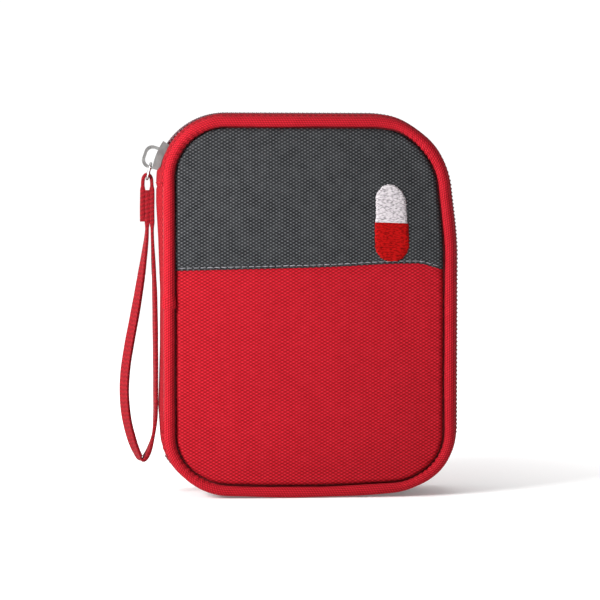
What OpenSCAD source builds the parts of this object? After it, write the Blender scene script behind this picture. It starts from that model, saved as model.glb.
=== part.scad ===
// Zip-around first aid kit: two padded canvas halves on a fabric spine, with a No. 5 coil zipper,
// a slider with a wire pull and a wrist strap, a piped edge, and its dressings inside.
// X runs across the cover, the front faces -Y, and the kit stands on its bottom edge at z = 0.

/* [Covers] */
// Width over the piping
cover_w = 107; // [90:0.5:160]
// Height over the piping
cover_h = 139.5; // [110:0.5:200]
// Thickness of the closed kit, front piping to back piping
depth = 34; // [30:0.5:50]
// Outer radius of the covers' corners
corner_r = 23; // [15:0.5:30]
// Thickness of a canvas panel
panel_t = 1.2; // [0.8:0.1:1.6]
// Thickness of the foam board behind a panel
board_t = 2; // [1:0.1:2.5]
// Thickness of the lining
lining_t = 0.6; // [0.4:0.1:1]
// Height of the seam between the two front canvases
seam_z = 82.5; // [50:0.5:100]

/* [Piping] */
// Diameter of the piping cord with its cover
piping_d = 4.2; // [3:0.1:6]
// Groove between the piping and a panel
groove = 0.3; // [0.1:0.1:1]

/* [Walls] */
// Padded wall's thickness
wall_t = 2.5; // [1.5:0.1:3]
// How far the walls stand out past the piping on the sides
wall_side = 0.75; // [0:0.05:1.5]
// How far the walls stand out past the piping on top
wall_top = 0.7; // [0:0.05:1.5]

/* [Zipper] */
// How far the coil stands out past the piping on the sides
coil_side = 2.8; // [2:0.1:4]
// How far the coil stands out past the piping on top
coil_top = 1.8; // [1:0.1:4]
// Height of the coil over the resting surface
coil_lift = 0.2; // [0.1:0.1:1]
// Thickness of the coil
coil_t = 1.6; // [1:0.1:2.4]
// Width of one half of the coil
coil_w = 2.2; // [1.5:0.1:3]
// Half of the gap in which the slider's post runs
post_way = 0.9; // [0.6:0.1:1.2]
// Thickness of the zipper tape
tape_t = 0.7; // [0.4:0.1:1]
// Distance from the middle of the zipper to the tape's inner edge
tape_in = 1.6; // [1.2:0.1:3]
// Distance from the middle of the zipper to the seam with the wall
tape_out = 7.5; // [6:0.1:10]
// Angle up the corner at which the two halves of the zipper part
part_angle = 38; // [36:1:60]

/* [Spine] */
// Height of the spine gusset's lower end over the straight stretch's foot
spine_foot = 2; // [1.5:0.5:10]
// Distance of the spine gusset's upper end below the straight stretch's top
spine_drop = 1.5; // [1.5:0.5:10]
// Thickness of the gusset
spine_t = 1.2; // [0.8:0.1:2]
// Gap between the gusset and the piping
spine_gap = 0.1; // [0.1:0.1:1]
// Distance from a cover's outer face to its fold line
fold_in = 3.8; // [3:0.1:6]

/* [Slider] */
// Angle up the corner at which the closed slider rests
slider_angle = 22; // [15:1:25]
// Length of the slider along the coil
slider_len = 10.4; // [9:0.2:13]
// Width of the slider
slider_w = 9.2; // [8:0.2:12]
// Thickness of the slider's plates
plate_t = 1.2; // [0.8:0.1:1.6]
// Width of the slider's flanges
flange_w = 1.2; // [0.8:0.1:1.6]
// Width of the post between the plates
post_w = 1.2; // [0.8:0.1:1.4]
// Running clearance between the slider and the zipper
run = 0.3; // [0.2:0.05:0.5]
// Length of the bridge that holds the pull
bridge_len = 8.6; // [6:0.2:10]
// Height of the bridge
bridge_h = 4.4; // [3:0.1:6]
// Thickness of the bridge
bridge_t = 1.1; // [0.8:0.1:1.4]
// Width of the bridge
bridge_w = 2.2; // [1.5:0.1:3]
// Diameter of the pull's wire
wire_d = 1; // [0.8:0.1:1.4]
// Inner width of the pull
pull_w = 6; // [5.4:0.2:8]
// Distance between the pull's two bars
pull_len = 5.8; // [5:0.2:12]
// Lean of the hanging pull away from the wall
pull_lean = 14; // [0:1:40]

/* [Wrist strap] */
// Width of the strap
strap_w = 5; // [3:0.1:5.4]
// Thickness of the strap
strap_t = 1.2; // [0.8:0.1:1.3]

/* [Embroidery] */
// Width of the capsule
capsule_w = 12; // [6:0.5:20]
// Height of the capsule
capsule_h = 28.4; // [18:0.5:40]
// Thickness of the embroidery
stitch_t = 0.5; // [0.3:0.1:1]
// Distance from the capsule's axis to the cover's right edge
capsule_in = 24.5; // [15:0.5:40]
// Height of the capsule's middle over the seam
capsule_rise = 16.5; // [12:0.5:24]

/* [Pockets and contents] */
// Thickness of the mesh and of the elastic
mesh_t = 0.6; // [0.4:0.1:1]
// Width of the mesh pocket
pocket_w = 90; // [70:1:96]
// Height of the mesh pocket
pocket_h = 76; // [60:1:84]
// Depth of the mesh pocket
pocket_d = 7; // [6:0.5:8]
// Distance from the pocket's floor to the bottom of the kit
pocket_z = 7; // [4:0.5:12]
// Height of the binding along the pocket's mouth
binding_h = 7; // [4:0.5:10]
// Width of the elastic bands
elastic_h = 18; // [12:1:26]
// Height of the front elastic's lower edge
elastic_z = 62; // [50:1:80]
// Depth of the elastic's loops
loop_d = 6; // [5:0.5:7]
// Width of the narrow loops
loop_w = 13; // [10:0.5:16]
// Width of the wide loops
wide_loop_w = 26; // [24:0.5:30]
// Width of a gauze pack
gauze_w = 38; // [30:1:40]
// Height of a gauze pack
gauze_h = 48; // [40:1:55]
// Thickness of a gauze pack
gauze_t = 4.6; // [3:0.2:5.6]
// Width of the folded bandage
bandage_w = 56; // [40:1:70]
// Height of the folded bandage
bandage_h = 30; // [24:1:32]
// Thickness of the folded bandage
bandage_t = 7.6; // [5:0.2:8]
// Room between the contents and what holds them
ease = 0.4; // [0.2:0.1:1]

/* [Hidden] */
$fn = 96;

RED = [0.76, 0.11, 0.17];
DARK_RED = [0.6, 0.08, 0.12];
GREY = [0.25, 0.26, 0.28];
BLACK = [0.09, 0.05, 0.06];
SILVER = [0.76, 0.76, 0.77];
WHITE = [0.9, 0.88, 0.88];
FOAM = [0.82, 0.82, 0.8];
PAPER = [0.88, 0.91, 0.95];
STEEL = [0.7, 0.72, 0.74];

half_d = depth / 2;
pipe_r = piping_d / 2;
pipe_y = half_d - pipe_r;             // plane of the piping's core
wall_y = half_d - piping_d;           // the walls' edge at the piping, and a lining's outer face
board_y = wall_y + board_t;           // a board's outer face
panel_y = board_y + panel_t;          // a panel's outer face
inside_y = wall_y - lining_t;         // a lining's inner face

coil_w_all = cover_w + 2 * coil_side; // width over the coil
coil_top_z = cover_h + coil_top;
coil_r = corner_r + coil_side;        // outer radius of the coil in the corners
tape_r = coil_r - coil_t;             // outer radius of the tape in the corners
arc_x = coil_w_all / 2 - coil_r;      // middles of the coil's corners
arc_top = coil_top_z - coil_r;
arc_low = coil_lift + coil_r;
coil_out = post_way + coil_w;         // the coil's outer edge

spine_z0 = arc_low + spine_foot;
spine_z1 = arc_top - spine_drop;
spine_x = cover_w / 2 + spine_gap + spine_t;  // the gusset's outer face is at -spine_x
fold_y = half_d - fold_in;            // the fold lines' distance from the middle
end_half = slider_w / 2;              // half width of the zipper's closed ends
end_gap = 0.6;                        // gap beside those ends
tiny = 0.01;

plate_r = coil_r + run;               // inner face of the slider's outer plate
inner_r = tape_r - tape_t - run;      // outer face of its inner plate
bridge_turn = 3;                      // the bridge sits this many degrees below the slider's middle
slider_half = slider_len / 2 / coil_r * 180 / PI;
bar_r = plate_r + plate_t + wire_d / 2 + run; // radius at which the pull's upper bar sits
bar_angle = slider_angle - bridge_turn - (bridge_len / 2 - bridge_t - wire_d / 2 - run) / bar_r * 180 / PI;
bar_x = -arc_x - bar_r * cos(bar_angle);
bar_z = arc_top + bar_r * sin(bar_angle);

tape_x = arc_x + tape_r;              // the tape's outer face on the sides
tab_t = tape_t;                       // an end tab lies flush with the tape
tab_h = 1;                            // and reaches this far past the corner's foot
tab_angle = 3;                        // where the closed ends' tape starts, clear of the tab
part_gap = 0.8;                       // degrees between a closed end and the open halves
bridge_round = 0.7;                   // how round the bridge's shoulders are, as a share of its height
wire_bend = 1.4;                      // radius of the pull's corners

packet_r = 2;                         // corner radius of the packets
pocket_r = 8;                         // radius of the pocket's lower corners
pack_in = 3.4;                        // distance of the gauze packs from the pocket's sides and floor
bandage_rise = 10;                    // from the pocket's mouth up to the bandage
bandage_z = pocket_z + pocket_h + bandage_rise;
elastic_foot = 4;                     // stitched-down ends of the bandage's elastic
tweezer_len = 84;
tweezer_w = 8;
tweezer_tip = 1.6;
tweezer_head = 8;
tweezer_z = 32;
plaster_h = 60;
wipe_h = 50;
packet_drop = 22;                     // how far the packets reach below their elastic

capsule_x = cover_w / 2 - capsule_in;
capsule_z = seam_z + capsule_rise;

// Loops of the front elastic from left to right: [x of the loop's left side, width]
loop_gap = 4;                         // width of the stitched-down stretch between two loops
loop_x0 = -43;                        // left side of the first loop
last_loop_w = wide_loop_w - 3;        // the last loop is a little tighter
loops = [
    [loop_x0, loop_w],
    [loop_x0 + loop_w + loop_gap, loop_w],
    [loop_x0 + 2 * (loop_w + loop_gap), wide_loop_w],
    [loop_x0 + 2 * (loop_w + loop_gap) + wide_loop_w + loop_gap, last_loop_w]
];

// The strap's route: [x, y, z, turn of its flat side away from the zipper's direction, in degrees]
strap_route = [
    [-60.9, 0, 101, 0], [-60.9, 0, 107, 0], [-60.8, 0, 112, 0], [-60.7, 0, 116, 0],
    [-60.2, 0, 117.7, 0], [-59.1, 0, 118.4, 0], [-58, 0, 117.7, 0], [-57.5, 0, 116, 0],
    [-57.4, 0, 111, 0], [-57.4, -0.2, 104, 0], [-57.3, -0.8, 96, 0], [-57, -1.8, 87, -5],
    [-56.6, -3, 77, -8], [-56.4, -4, 65, -10], [-56.3, -4.8, 52, -10], [-56.3, -5, 40, -10],
    [-56.4, -5, 30, -8], [-57.1, -4.8, 22.5, 0], [-58.6, -4.4, 16.6, 10], [-60.2, -4, 13.2, 15],
    [-61.6, -3.8, 12.5, 20], [-62.9, -3.6, 14.4, 25], [-65, -3.4, 20, 32], [-67, -3.2, 28.5, 35],
    [-67.8, -3, 38, 36], [-67.3, -2.7, 47, 36], [-65.8, -2.4, 56.5, 35], [-63.8, -2, 67, 32],
    [-61.9, -1.5, 78, 26], [-60.4, -1, 88, 16], [-59.4, -0.4, 96, 6], [-59.15, 0, 103, 0],
    [-59.15, 0, 109, 0]
];

// ---- Shapes that repeat ----

// A rounded rectangle standing on z = z0
module outline(w, z0, z1, r) {
    translate([-w / 2 + r, z0]) square([w - 2 * r, z1 - z0]);
    translate([-w / 2, z0 + r]) square([w, z1 - z0 - 2 * r]);
    for (x = [-w / 2 + r, w / 2 - r], z = [z0 + r, z1 - r]) translate([x, z]) circle(r);
}

// The covers' outline, drawn in by inset
module cover_outline(inset) {
    outline(cover_w - 2 * inset, inset, cover_h - inset, corner_r - inset);
}

// The walls' outline, which stands out past the piping but not below it
module wall_outline(inset) {
    outline(cover_w + 2 * wall_side - 2 * inset, inset, cover_h + wall_top - inset, corner_r + wall_side - inset);
}

// The zipper's outline
module zip_outline(inset) {
    outline(coil_w_all - 2 * inset, coil_lift + inset, coil_top_z - inset, coil_r - inset);
}

// A flat shape in X and Z, made solid from y0 to y1
module slab(y0, y1) {
    translate([0, y1, 0]) rotate([90, 0, 0]) linear_extrude(y1 - y0) children();
}

// The same on the front half for side = -1, and on the back half for side = 1
module half_slab(side, inner, outer) {
    if (side < 0) slab(-outer, -inner) children();
    else slab(inner, outer) children();
}

// A profile in radius and y, swept round a corner of the zipper on the left.
// Angles go up from straight left; up = -1 is the lower corner.
module left_arc(a0, a1, up = 1) {
    translate([-arc_x, 0, up > 0 ? arc_top : arc_low])
        mirror([0, 0, up > 0 ? 0 : 1])
            rotate([90, 0, 0])
                rotate([0, 0, 180 - a1])
                    rotate_extrude(angle = a1 - a0) children();
}

// The stretch on the left where the gusset stands in for the walls
module spine_window() {
    translate([-cover_w, -depth, spine_z0]) cube([cover_w - arc_x, 2 * depth, spine_z1 - spine_z0]);
}

// The wedge at each left corner where the zipper's two halves are one closed end
module end_wedges(reach) {
    slab(-reach, reach) for (up = [1, -1]) {
        z = up > 0 ? arc_top : arc_low;
        far = 2 * coil_r;
        translate([-arc_x, z]) polygon([[0, 0], [-far, 0], [-far, up * far * tan(part_angle)]]);
    }
    slab(-reach, reach) translate([-cover_w, arc_low - tiny]) square([cover_w - arc_x, arc_top - arc_low + 2 * tiny]);
}

// ---- The covers' pieces ----

module panel_shape() { cover_outline(piping_d + groove); }

module panel(side) { half_slab(side, board_y, panel_y) panel_shape(); }

module board(side) { half_slab(side, wall_y, board_y) panel_shape(); }

module lining(side) { half_slab(side, inside_y, wall_y - tiny) wall_outline(wall_t); }

// Piping: a round cord along the cover's edge
module piping(side) {
    x = cover_w / 2 - corner_r;
    z0 = corner_r;
    z1 = cover_h - corner_r;
    run_r = corner_r - pipe_r;
    translate([0, side * pipe_y, 0]) {
        for (z = [pipe_r, cover_h - pipe_r]) translate([-x, 0, z]) rotate([0, 90, 0]) cylinder(h = 2 * x, r = pipe_r);
        for (s = [-1, 1]) translate([s * (cover_w / 2 - pipe_r), 0, z0]) cylinder(h = z1 - z0, r = pipe_r);
        for (c = [[x, z1, 0], [-x, z1, 90], [-x, z0, 180], [x, z0, 270]])
            translate([c[0], 0, c[1]]) rotate([90, 0, 0]) rotate([0, 0, c[2]])
                rotate_extrude(angle = 90) translate([run_r, 0]) circle(pipe_r);
    }
}

module wall(side) {
    difference() {
        half_slab(side, tape_out, wall_y - tiny) difference() { wall_outline(0); wall_outline(wall_t); }
        spine_window();
    }
}

module tape(side) {
    difference() {
        half_slab(side, tape_in, tape_out) difference() { zip_outline(coil_t); zip_outline(coil_t + tape_t); }
        spine_window();
        end_wedges(end_half + end_gap);
    }
}

module coil(side) {
    difference() {
        half_slab(side, post_way, coil_out) difference() { zip_outline(0); zip_outline(coil_t); }
        end_wedges(depth);
    }
}

// ---- Back half ----
module back_panel() { color(RED) panel(1); }
module back_board() { color(FOAM) board(1); }
module back_lining() { color(DARK_RED) lining(1); }
module back_piping() { color(RED) piping(1); }
module back_wall() { color(RED) wall(1); }
module back_tape() { color(RED) tape(1); }
module back_coil() { color(BLACK) coil(1); }

// ---- Front half ----
module front_panel_upper() {
    color(GREY) slab(-panel_y, -board_y) intersection() {
        panel_shape();
        translate([-cover_w, seam_z]) square([2 * cover_w, cover_h]);
    }
}

module front_panel_lower() {
    color(RED) slab(-panel_y, -board_y) intersection() {
        panel_shape();
        translate([-cover_w, 0]) square([2 * cover_w, seam_z]);
    }
}

module front_board() { color(FOAM) board(-1); }
module front_lining() { color(DARK_RED) lining(-1); }
module front_piping() { color(RED) piping(-1); }
module front_wall() { color(RED) wall(-1); }
module front_tape() { color(RED) tape(-1); }
module front_coil() { color(BLACK) coil(-1); }

// One end of the embroidered capsule
module capsule_end(up) {
    straight = capsule_h / 2 - capsule_w / 2;
    slab(-panel_y - stitch_t, -panel_y) translate([capsule_x, capsule_z]) {
        translate([-capsule_w / 2, up > 0 ? 0 : -straight]) square([capsule_w, straight]);
        translate([0, up * straight]) circle(capsule_w / 2);
    }
}

module capsule_upper() { color(WHITE) capsule_end(1); }
module capsule_lower() { color(RED) capsule_end(-1); }

// ---- Spine ----
module spine_gusset() {
    color(RED) translate([-spine_x, -fold_y, spine_z0]) cube([spine_t, 2 * fold_y, spine_z1 - spine_z0]);
}

module spine_lining() {
    color(DARK_RED) translate([-spine_x + spine_t, -fold_y + 1, spine_z0])
        cube([lining_t, 2 * fold_y - 2, spine_z1 - spine_z0]);
}

// A fabric tab that closes each end of the zipper against the gusset
module end_tab(up) {
    z = up > 0 ? spine_z1 : arc_low - tab_h;
    h = tab_h + (up > 0 ? spine_drop : spine_foot);
    translate([-tape_x, -end_half, z]) cube([tab_t, slider_w, h]);
}

// The closed end of the zipper between the tab and the first open tooth: tape, then coil
module end_ring(up, r, t, y0, y1) {
    for (side = [-1, 1])
        left_arc(tab_angle, part_angle - part_gap, up) translate([r - t, side > 0 ? y0 : -y1]) square([t, y1 - y0]);
}

module end_tab_upper() { color(RED) end_tab(1); }
module end_tab_lower() { color(RED) end_tab(-1); }
module end_tape_upper() { color(RED) end_ring(1, tape_r, tape_t, tape_in, end_half); }
module end_tape_lower() { color(RED) end_ring(-1, tape_r, tape_t, tape_in, end_half); }
module end_coil_upper() { color(BLACK) end_ring(1, coil_r, coil_t, post_way, coil_out); }
module end_coil_lower() { color(BLACK) end_ring(-1, coil_r, coil_t, post_way, coil_out); }

// ---- Slider ----
module slider_body() {
    a0 = slider_angle - slider_half;
    a1 = slider_angle + slider_half;
    flange_y = end_half - flange_w;
    flange_in = tape_r + run;
    post_a = 3;                       // degrees of the corner that the post takes
    color(SILVER) {
        left_arc(a0, a1) translate([plate_r, -end_half]) square([plate_t, slider_w]);
        left_arc(a0, a1) translate([inner_r - plate_t, -end_half]) square([plate_t, slider_w]);
        for (y = [-end_half, flange_y])
            left_arc(a0, a1) translate([flange_in, y]) square([plate_r - flange_in, flange_w]);
        left_arc(a0, a0 + post_a) translate([inner_r - plate_t / 2, -post_w / 2])
            square([plate_r - inner_r + plate_t, post_w]);
    }
}

// Arched bridge over the outer plate, with its feet on the plate
module slider_bridge() {
    color(SILVER) difference() {
        translate([-arc_x, 0, arc_top]) rotate([0, slider_angle - bridge_turn, 0]) translate([-plate_r - plate_t, 0, 0])
            slab(-bridge_w / 2, bridge_w / 2) rotate(90) difference() {
                bridge_side(bridge_len, bridge_h);
                bridge_side(bridge_len - 2 * bridge_t, bridge_h - bridge_t);
            }
        translate([-arc_x, 0, arc_top]) rotate([90, 0, 0]) cylinder(h = slider_w, r = plate_r + plate_t, center = true);
    }
}

// Side of the bridge: a low box with a rounded top
module bridge_side(len, h) {
    r = min(h, len / 2) * bridge_round;
    translate([-len / 2, -plate_t]) square([len, h - r + plate_t]);
    translate([-len / 2 + r, -plate_t]) square([len - 2 * r, h + plate_t]);
    for (x = [-len / 2 + r, len / 2 - r]) translate([x, h - r]) circle(r);
}

// Wire pull: a closed loop hanging from the bridge
module pull_ring() {
    w = pull_w + wire_d;
    r = wire_bend;
    color(SILVER) translate([bar_x, 0, bar_z]) rotate([0, pull_lean, 0]) {
        for (z = [0, -pull_len]) translate([0, w / 2 - r, z]) rotate([90, 0, 0]) cylinder(h = w - 2 * r, r = wire_d / 2);
        for (y = [-w / 2, w / 2]) translate([0, y, r - pull_len]) cylinder(h = pull_len - 2 * r, r = wire_d / 2);
        for (c = [[w / 2 - r, -r, 0], [-w / 2 + r, -r, 90], [-w / 2 + r, r - pull_len, 180], [w / 2 - r, r - pull_len, 270]])
            translate([0, c[0], c[1]]) rotate([90, 0, 90]) rotate([0, 0, c[2]])
                rotate_extrude(angle = 90) translate([r, 0]) circle(wire_d / 2);
    }
}

// ---- Wrist strap ----
function unit(v) = v / norm(v);
function row(i) = strap_route[max(0, min(i, len(strap_route) - 1))];
function place(i) = let (r = row(i)) [r[0], r[1], r[2]];
function spline(a, b, c, d, t) =
    0.5 * (2 * b + (c - a) * t + (2 * a - 5 * b + 4 * c - d) * t * t + (3 * b - a - 3 * c + d) * t * t * t);
function strap_at(s) = let (i = floor(s), t = s - i) spline(place(i - 1), place(i), place(i + 1), place(i + 2), t);
function strap_turn(s) = let (i = floor(s), t = s - i) row(i)[3] * (1 - t) + row(i + 1)[3] * t;

// A flat strap swept along its route: eight corners a ring
module wrist_strap() {
    sides = 8;
    last = len(strap_route) - 1;
    stops = [for (s = [0 : 0.5 : last]) min(s, last - tiny)];
    rings = [for (s = stops)
        let (
            along = unit(strap_at(min(s + 0.05, last - tiny)) - strap_at(max(s - 0.05, 0))),
            wide = [sin(strap_turn(s)), cos(strap_turn(s)), 0],
            across = unit(wide - (wide * along) * along),
            out = cross(along, across)
        )
        for (k = [0 : sides - 1])
            let (a = 360 * (k + 0.5) / sides, full = 1 / cos(180 / sides))
            strap_at(s) + across * (cos(a) * full * strap_w / 2) + out * (sin(a) * full * strap_t / 2)
    ];
    n = len(stops);
    walls = [for (i = [0 : n - 2], k = [0 : sides - 1])
        let (a = i * sides + k, b = i * sides + (k + 1) % sides)
        each [[a, b, b + sides], [a, b + sides, a + sides]]];
    first = [for (k = [sides - 1 : -1 : 0]) k];
    end = [for (k = [0 : sides - 1]) (n - 1) * sides + k];
    color(RED) polyhedron(points = rings, faces = concat(walls, [first, end]));
}

// ---- Back half's pocket and dressings ----
module mesh_pocket() {
    color(GREY) pocket_part(pocket_z, pocket_z + pocket_h - binding_h);
}

// Elastic binding round the pocket's mouth
module pocket_binding() {
    color(RED) pocket_part(pocket_z + pocket_h - binding_h, pocket_z + pocket_h);
}

// The stretch of the pocket from z0 to z1: its front sheet, and its sides and floor
module pocket_part(z0, z1) {
    y = inside_y - pocket_d;
    slab(y, y + mesh_t) pocket_stretch(z0, z1) pocket_outline(0);
    slab(y + mesh_t, inside_y) pocket_stretch(z0, z1) difference() {
        pocket_outline(0);
        pocket_outline(mesh_t);
    }
}

module pocket_stretch(z0, z1) {
    intersection() {
        translate([-pocket_w / 2, z0]) square([pocket_w, z1 - z0]);
        children();
    }
}

// The pocket seen from the front, with its sides running on past its mouth
module pocket_outline(inset) {
    outline(pocket_w - 2 * inset, pocket_z + inset, pocket_z + 2 * pocket_h, pocket_r - inset);
}

// A flat packet with rounded corners, standing on its lower edge
module packet(x, y, z, w, t, h) {
    translate([x, 0, z]) slab(y, y + t) outline(w, 0, h, packet_r);
}

module gauze_pack(side) {
    x = side * (pocket_w / 2 - mesh_t - pack_in - gauze_w / 2);
    packet(x, inside_y - ease - gauze_t, pocket_z + mesh_t + pack_in, gauze_w, gauze_t, gauze_h);
}

module gauze_pack_left() { color(PAPER) gauze_pack(-1); }
module gauze_pack_right() { color(PAPER) gauze_pack(1); }

// Flat-folded bandage under its own elastic, above the pocket
module bandage() {
    color(WHITE) packet(0, inside_y - bandage_t, bandage_z, bandage_w, bandage_t, bandage_h);
}

module bandage_elastic() {
    y0 = inside_y - bandage_t - ease - mesh_t;
    w = bandage_w + 2 * (ease + mesh_t);
    z = bandage_z + (bandage_h - elastic_h) / 2;
    color(BLACK) {
        translate([-w / 2, y0, z]) cube([w, mesh_t, elastic_h]);
        for (x = [-w / 2, w / 2 - mesh_t]) translate([x, y0 + mesh_t, z]) cube([mesh_t, inside_y - y0 - mesh_t, elastic_h]);
        for (x = [-w / 2 - elastic_foot, w / 2]) translate([x, inside_y - mesh_t, z]) cube([elastic_foot, mesh_t, elastic_h]);
    }
}

// ---- Front half's elastic and what it holds ----
module front_elastic() {
    color(BLACK) {
        for (l = loops) {
            translate([l[0], -inside_y + loop_d, elastic_z]) cube([l[1], mesh_t, elastic_h]);
            for (x = [l[0], l[0] + l[1] - mesh_t]) translate([x, -inside_y, elastic_z]) cube([mesh_t, loop_d, elastic_h]);
            translate([l[0] - loop_gap, -inside_y, elastic_z]) cube([loop_gap, mesh_t, elastic_h]);
        }
        last = loops[len(loops) - 1];
        translate([last[0] + last[1], -inside_y, elastic_z]) cube([loop_gap, mesh_t, elastic_h]);
    }
}

// Tweezers: two sprung blades joined at the top
module tweezers() {
    l = loops[0];
    x = l[0] + l[1] / 2;
    y = -inside_y + ease;
    blade_t = 0.9;
    spread = loop_d - 2 * ease;       // over the blades at the elastic
    color(STEEL) translate([x, 0, tweezer_z]) {
        translate([-tweezer_w / 2, y, tweezer_len - tweezer_head]) cube([tweezer_w, spread, tweezer_head]);
        for (b = [y, y + spread - blade_t])
            slab(b, b + blade_t) polygon([
                [-tweezer_w / 2, tweezer_len - tweezer_head], [-tweezer_w / 2, tweezer_len / 2],
                [-tweezer_tip / 2, 0], [tweezer_tip / 2, 0],
                [tweezer_w / 2, tweezer_len / 2], [tweezer_w / 2, tweezer_len - tweezer_head]
            ]);
    }
}

// A packet that fills one loop of the front elastic
module held_packet(i, h, drop) {
    l = loops[i];
    w = l[1] - 2 * (mesh_t + ease);
    packet(l[0] + l[1] / 2, -inside_y + ease, elastic_z - drop, w, loop_d - 2 * ease, h);
}

module plaster_pack() { color(WHITE) held_packet(2, plaster_h, packet_drop); }
module wipe_pack() { color(PAPER) held_packet(3, wipe_h, packet_drop); }

back_panel();
back_board();
back_lining();
back_piping();
back_wall();
back_tape();
back_coil();
front_panel_upper();
front_panel_lower();
front_board();
front_lining();
front_piping();
front_wall();
front_tape();
front_coil();
capsule_upper();
capsule_lower();
spine_gusset();
spine_lining();
end_tab_upper();
end_tab_lower();
end_tape_upper();
end_tape_lower();
end_coil_upper();
end_coil_lower();
slider_body();
slider_bridge();
pull_ring();
wrist_strap();
mesh_pocket();
pocket_binding();
gauze_pack_left();
gauze_pack_right();
bandage();
bandage_elastic();
front_elastic();
tweezers();
plaster_pack();
wipe_pack();
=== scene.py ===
import math

import bmesh
import bpy
import numpy as np
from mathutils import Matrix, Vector
from mathutils.bvhtree import BVHTree


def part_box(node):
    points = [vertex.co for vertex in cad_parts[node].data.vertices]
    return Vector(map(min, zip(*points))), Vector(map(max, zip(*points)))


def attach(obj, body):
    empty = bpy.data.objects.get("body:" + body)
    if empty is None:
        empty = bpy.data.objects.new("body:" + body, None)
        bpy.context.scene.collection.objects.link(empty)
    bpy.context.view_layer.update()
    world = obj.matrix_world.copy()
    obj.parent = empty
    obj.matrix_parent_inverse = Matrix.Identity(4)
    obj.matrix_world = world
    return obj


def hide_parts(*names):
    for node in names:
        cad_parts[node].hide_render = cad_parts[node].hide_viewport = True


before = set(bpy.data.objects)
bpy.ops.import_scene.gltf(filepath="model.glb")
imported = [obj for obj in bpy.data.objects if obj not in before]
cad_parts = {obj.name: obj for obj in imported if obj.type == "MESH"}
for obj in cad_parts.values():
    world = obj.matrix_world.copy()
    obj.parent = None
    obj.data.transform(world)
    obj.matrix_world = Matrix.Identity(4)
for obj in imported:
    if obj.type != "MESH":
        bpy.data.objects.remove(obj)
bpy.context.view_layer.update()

MM = 0.001


def corners(node):
    low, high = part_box(node)
    return np.array(low), np.array(high)


# ---- Sizes, from the frame ----
PIPE_LOW, PIPE_HIGH = corners("front_piping")
COVER_W = PIPE_HIGH[0] - PIPE_LOW[0]
COVER_H = PIPE_HIGH[2]
HALF_D = -PIPE_LOW[1]
PIPE_R = (PIPE_HIGH[1] - PIPE_LOW[1]) / 2
PIPE_Y = HALF_D - PIPE_R
CORNER_R = 23 * MM
PANEL_Y = -corners("front_panel_lower")[0][1]
PANEL_IN = (COVER_W - (corners("front_board")[1] - corners("front_board")[0])[0]) / 2
BOARD_Y = -corners("front_board")[0][1]
SEAM_Z = corners("front_panel_upper")[0][2]
COIL_SIDE = corners("back_coil")[1][0] - COVER_W / 2
COIL_TOP = corners("back_coil")[1][2] - COVER_H
SPINE_LOW, SPINE_HIGH = corners("spine_gusset")
FOLD_Y = SPINE_HIGH[1]

# The strap's route: place in millimetres, then the turn of its flat side in degrees
STRAP_ROUTE = [
    (-60.9, 0, 101, 0), (-60.9, 0, 107, 0), (-60.8, 0, 112, 0), (-60.7, 0, 116, 0),
    (-60.2, 0, 117.7, 0), (-59.1, 0, 118.4, 0), (-58, 0, 117.7, 0), (-57.5, 0, 116, 0),
    (-57.4, 0, 111, 0), (-57.4, -0.2, 104, 0), (-57.3, -0.8, 96, 0), (-57, -1.8, 87, -5),
    (-56.6, -3, 77, -8), (-56.4, -4, 65, -10), (-56.3, -4.8, 52, -10), (-56.3, -5, 40, -10),
    (-56.4, -5, 30, -8), (-57.1, -4.8, 22.5, 0), (-58.6, -4.4, 16.6, -10), (-60.2, -4, 13.2, -15),
    (-61.6, -3.8, 12.5, -20), (-62.9, -3.6, 14.4, -25), (-65, -3.4, 20, -32), (-67, -3.2, 28.5, -35),
    (-67.8, -3, 38, -36), (-67.3, -2.7, 47, -36), (-65.8, -2.4, 56.5, -35), (-63.8, -2, 67, -32),
    (-61.9, -1.5, 78, -26), (-60.4, -1, 88, -16), (-59.4, -0.4, 96, -6), (-59.15, 0, 103, 0),
    (-59.15, 0, 112.6, 0),
]
STRAP_W, STRAP_T = 5 * MM, 1.2 * MM


# ---- Camera, light and floor ----

def make_camera():
    azimuth, elevation, distance = math.radians(-4.5), math.radians(2.5), 0.76
    target = Vector((-3.8 * MM, -15 * MM, 72.5 * MM))
    away = Vector((
        math.sin(azimuth) * math.cos(elevation),
        -math.cos(azimuth) * math.cos(elevation),
        math.sin(elevation),
    ))
    data = bpy.data.cameras.new("camera")
    data.lens = 125.1
    data.clip_start = 0.01
    camera = bpy.data.objects.new("camera", data)
    camera.location = target + away * distance
    camera.rotation_euler = (-away).to_track_quat("-Z", "Y").to_euler()
    bpy.context.collection.objects.link(camera)
    bpy.context.scene.camera = camera


def make_lamp(name, place, target, size, power):
    data = bpy.data.lights.new(name, "AREA")
    data.size = size
    data.energy = power
    lamp = bpy.data.objects.new(name, data)
    lamp.location = place
    lamp.rotation_euler = (Vector(target) - Vector(place)).to_track_quat("-Z", "Y").to_euler()
    bpy.context.collection.objects.link(lamp)


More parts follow.
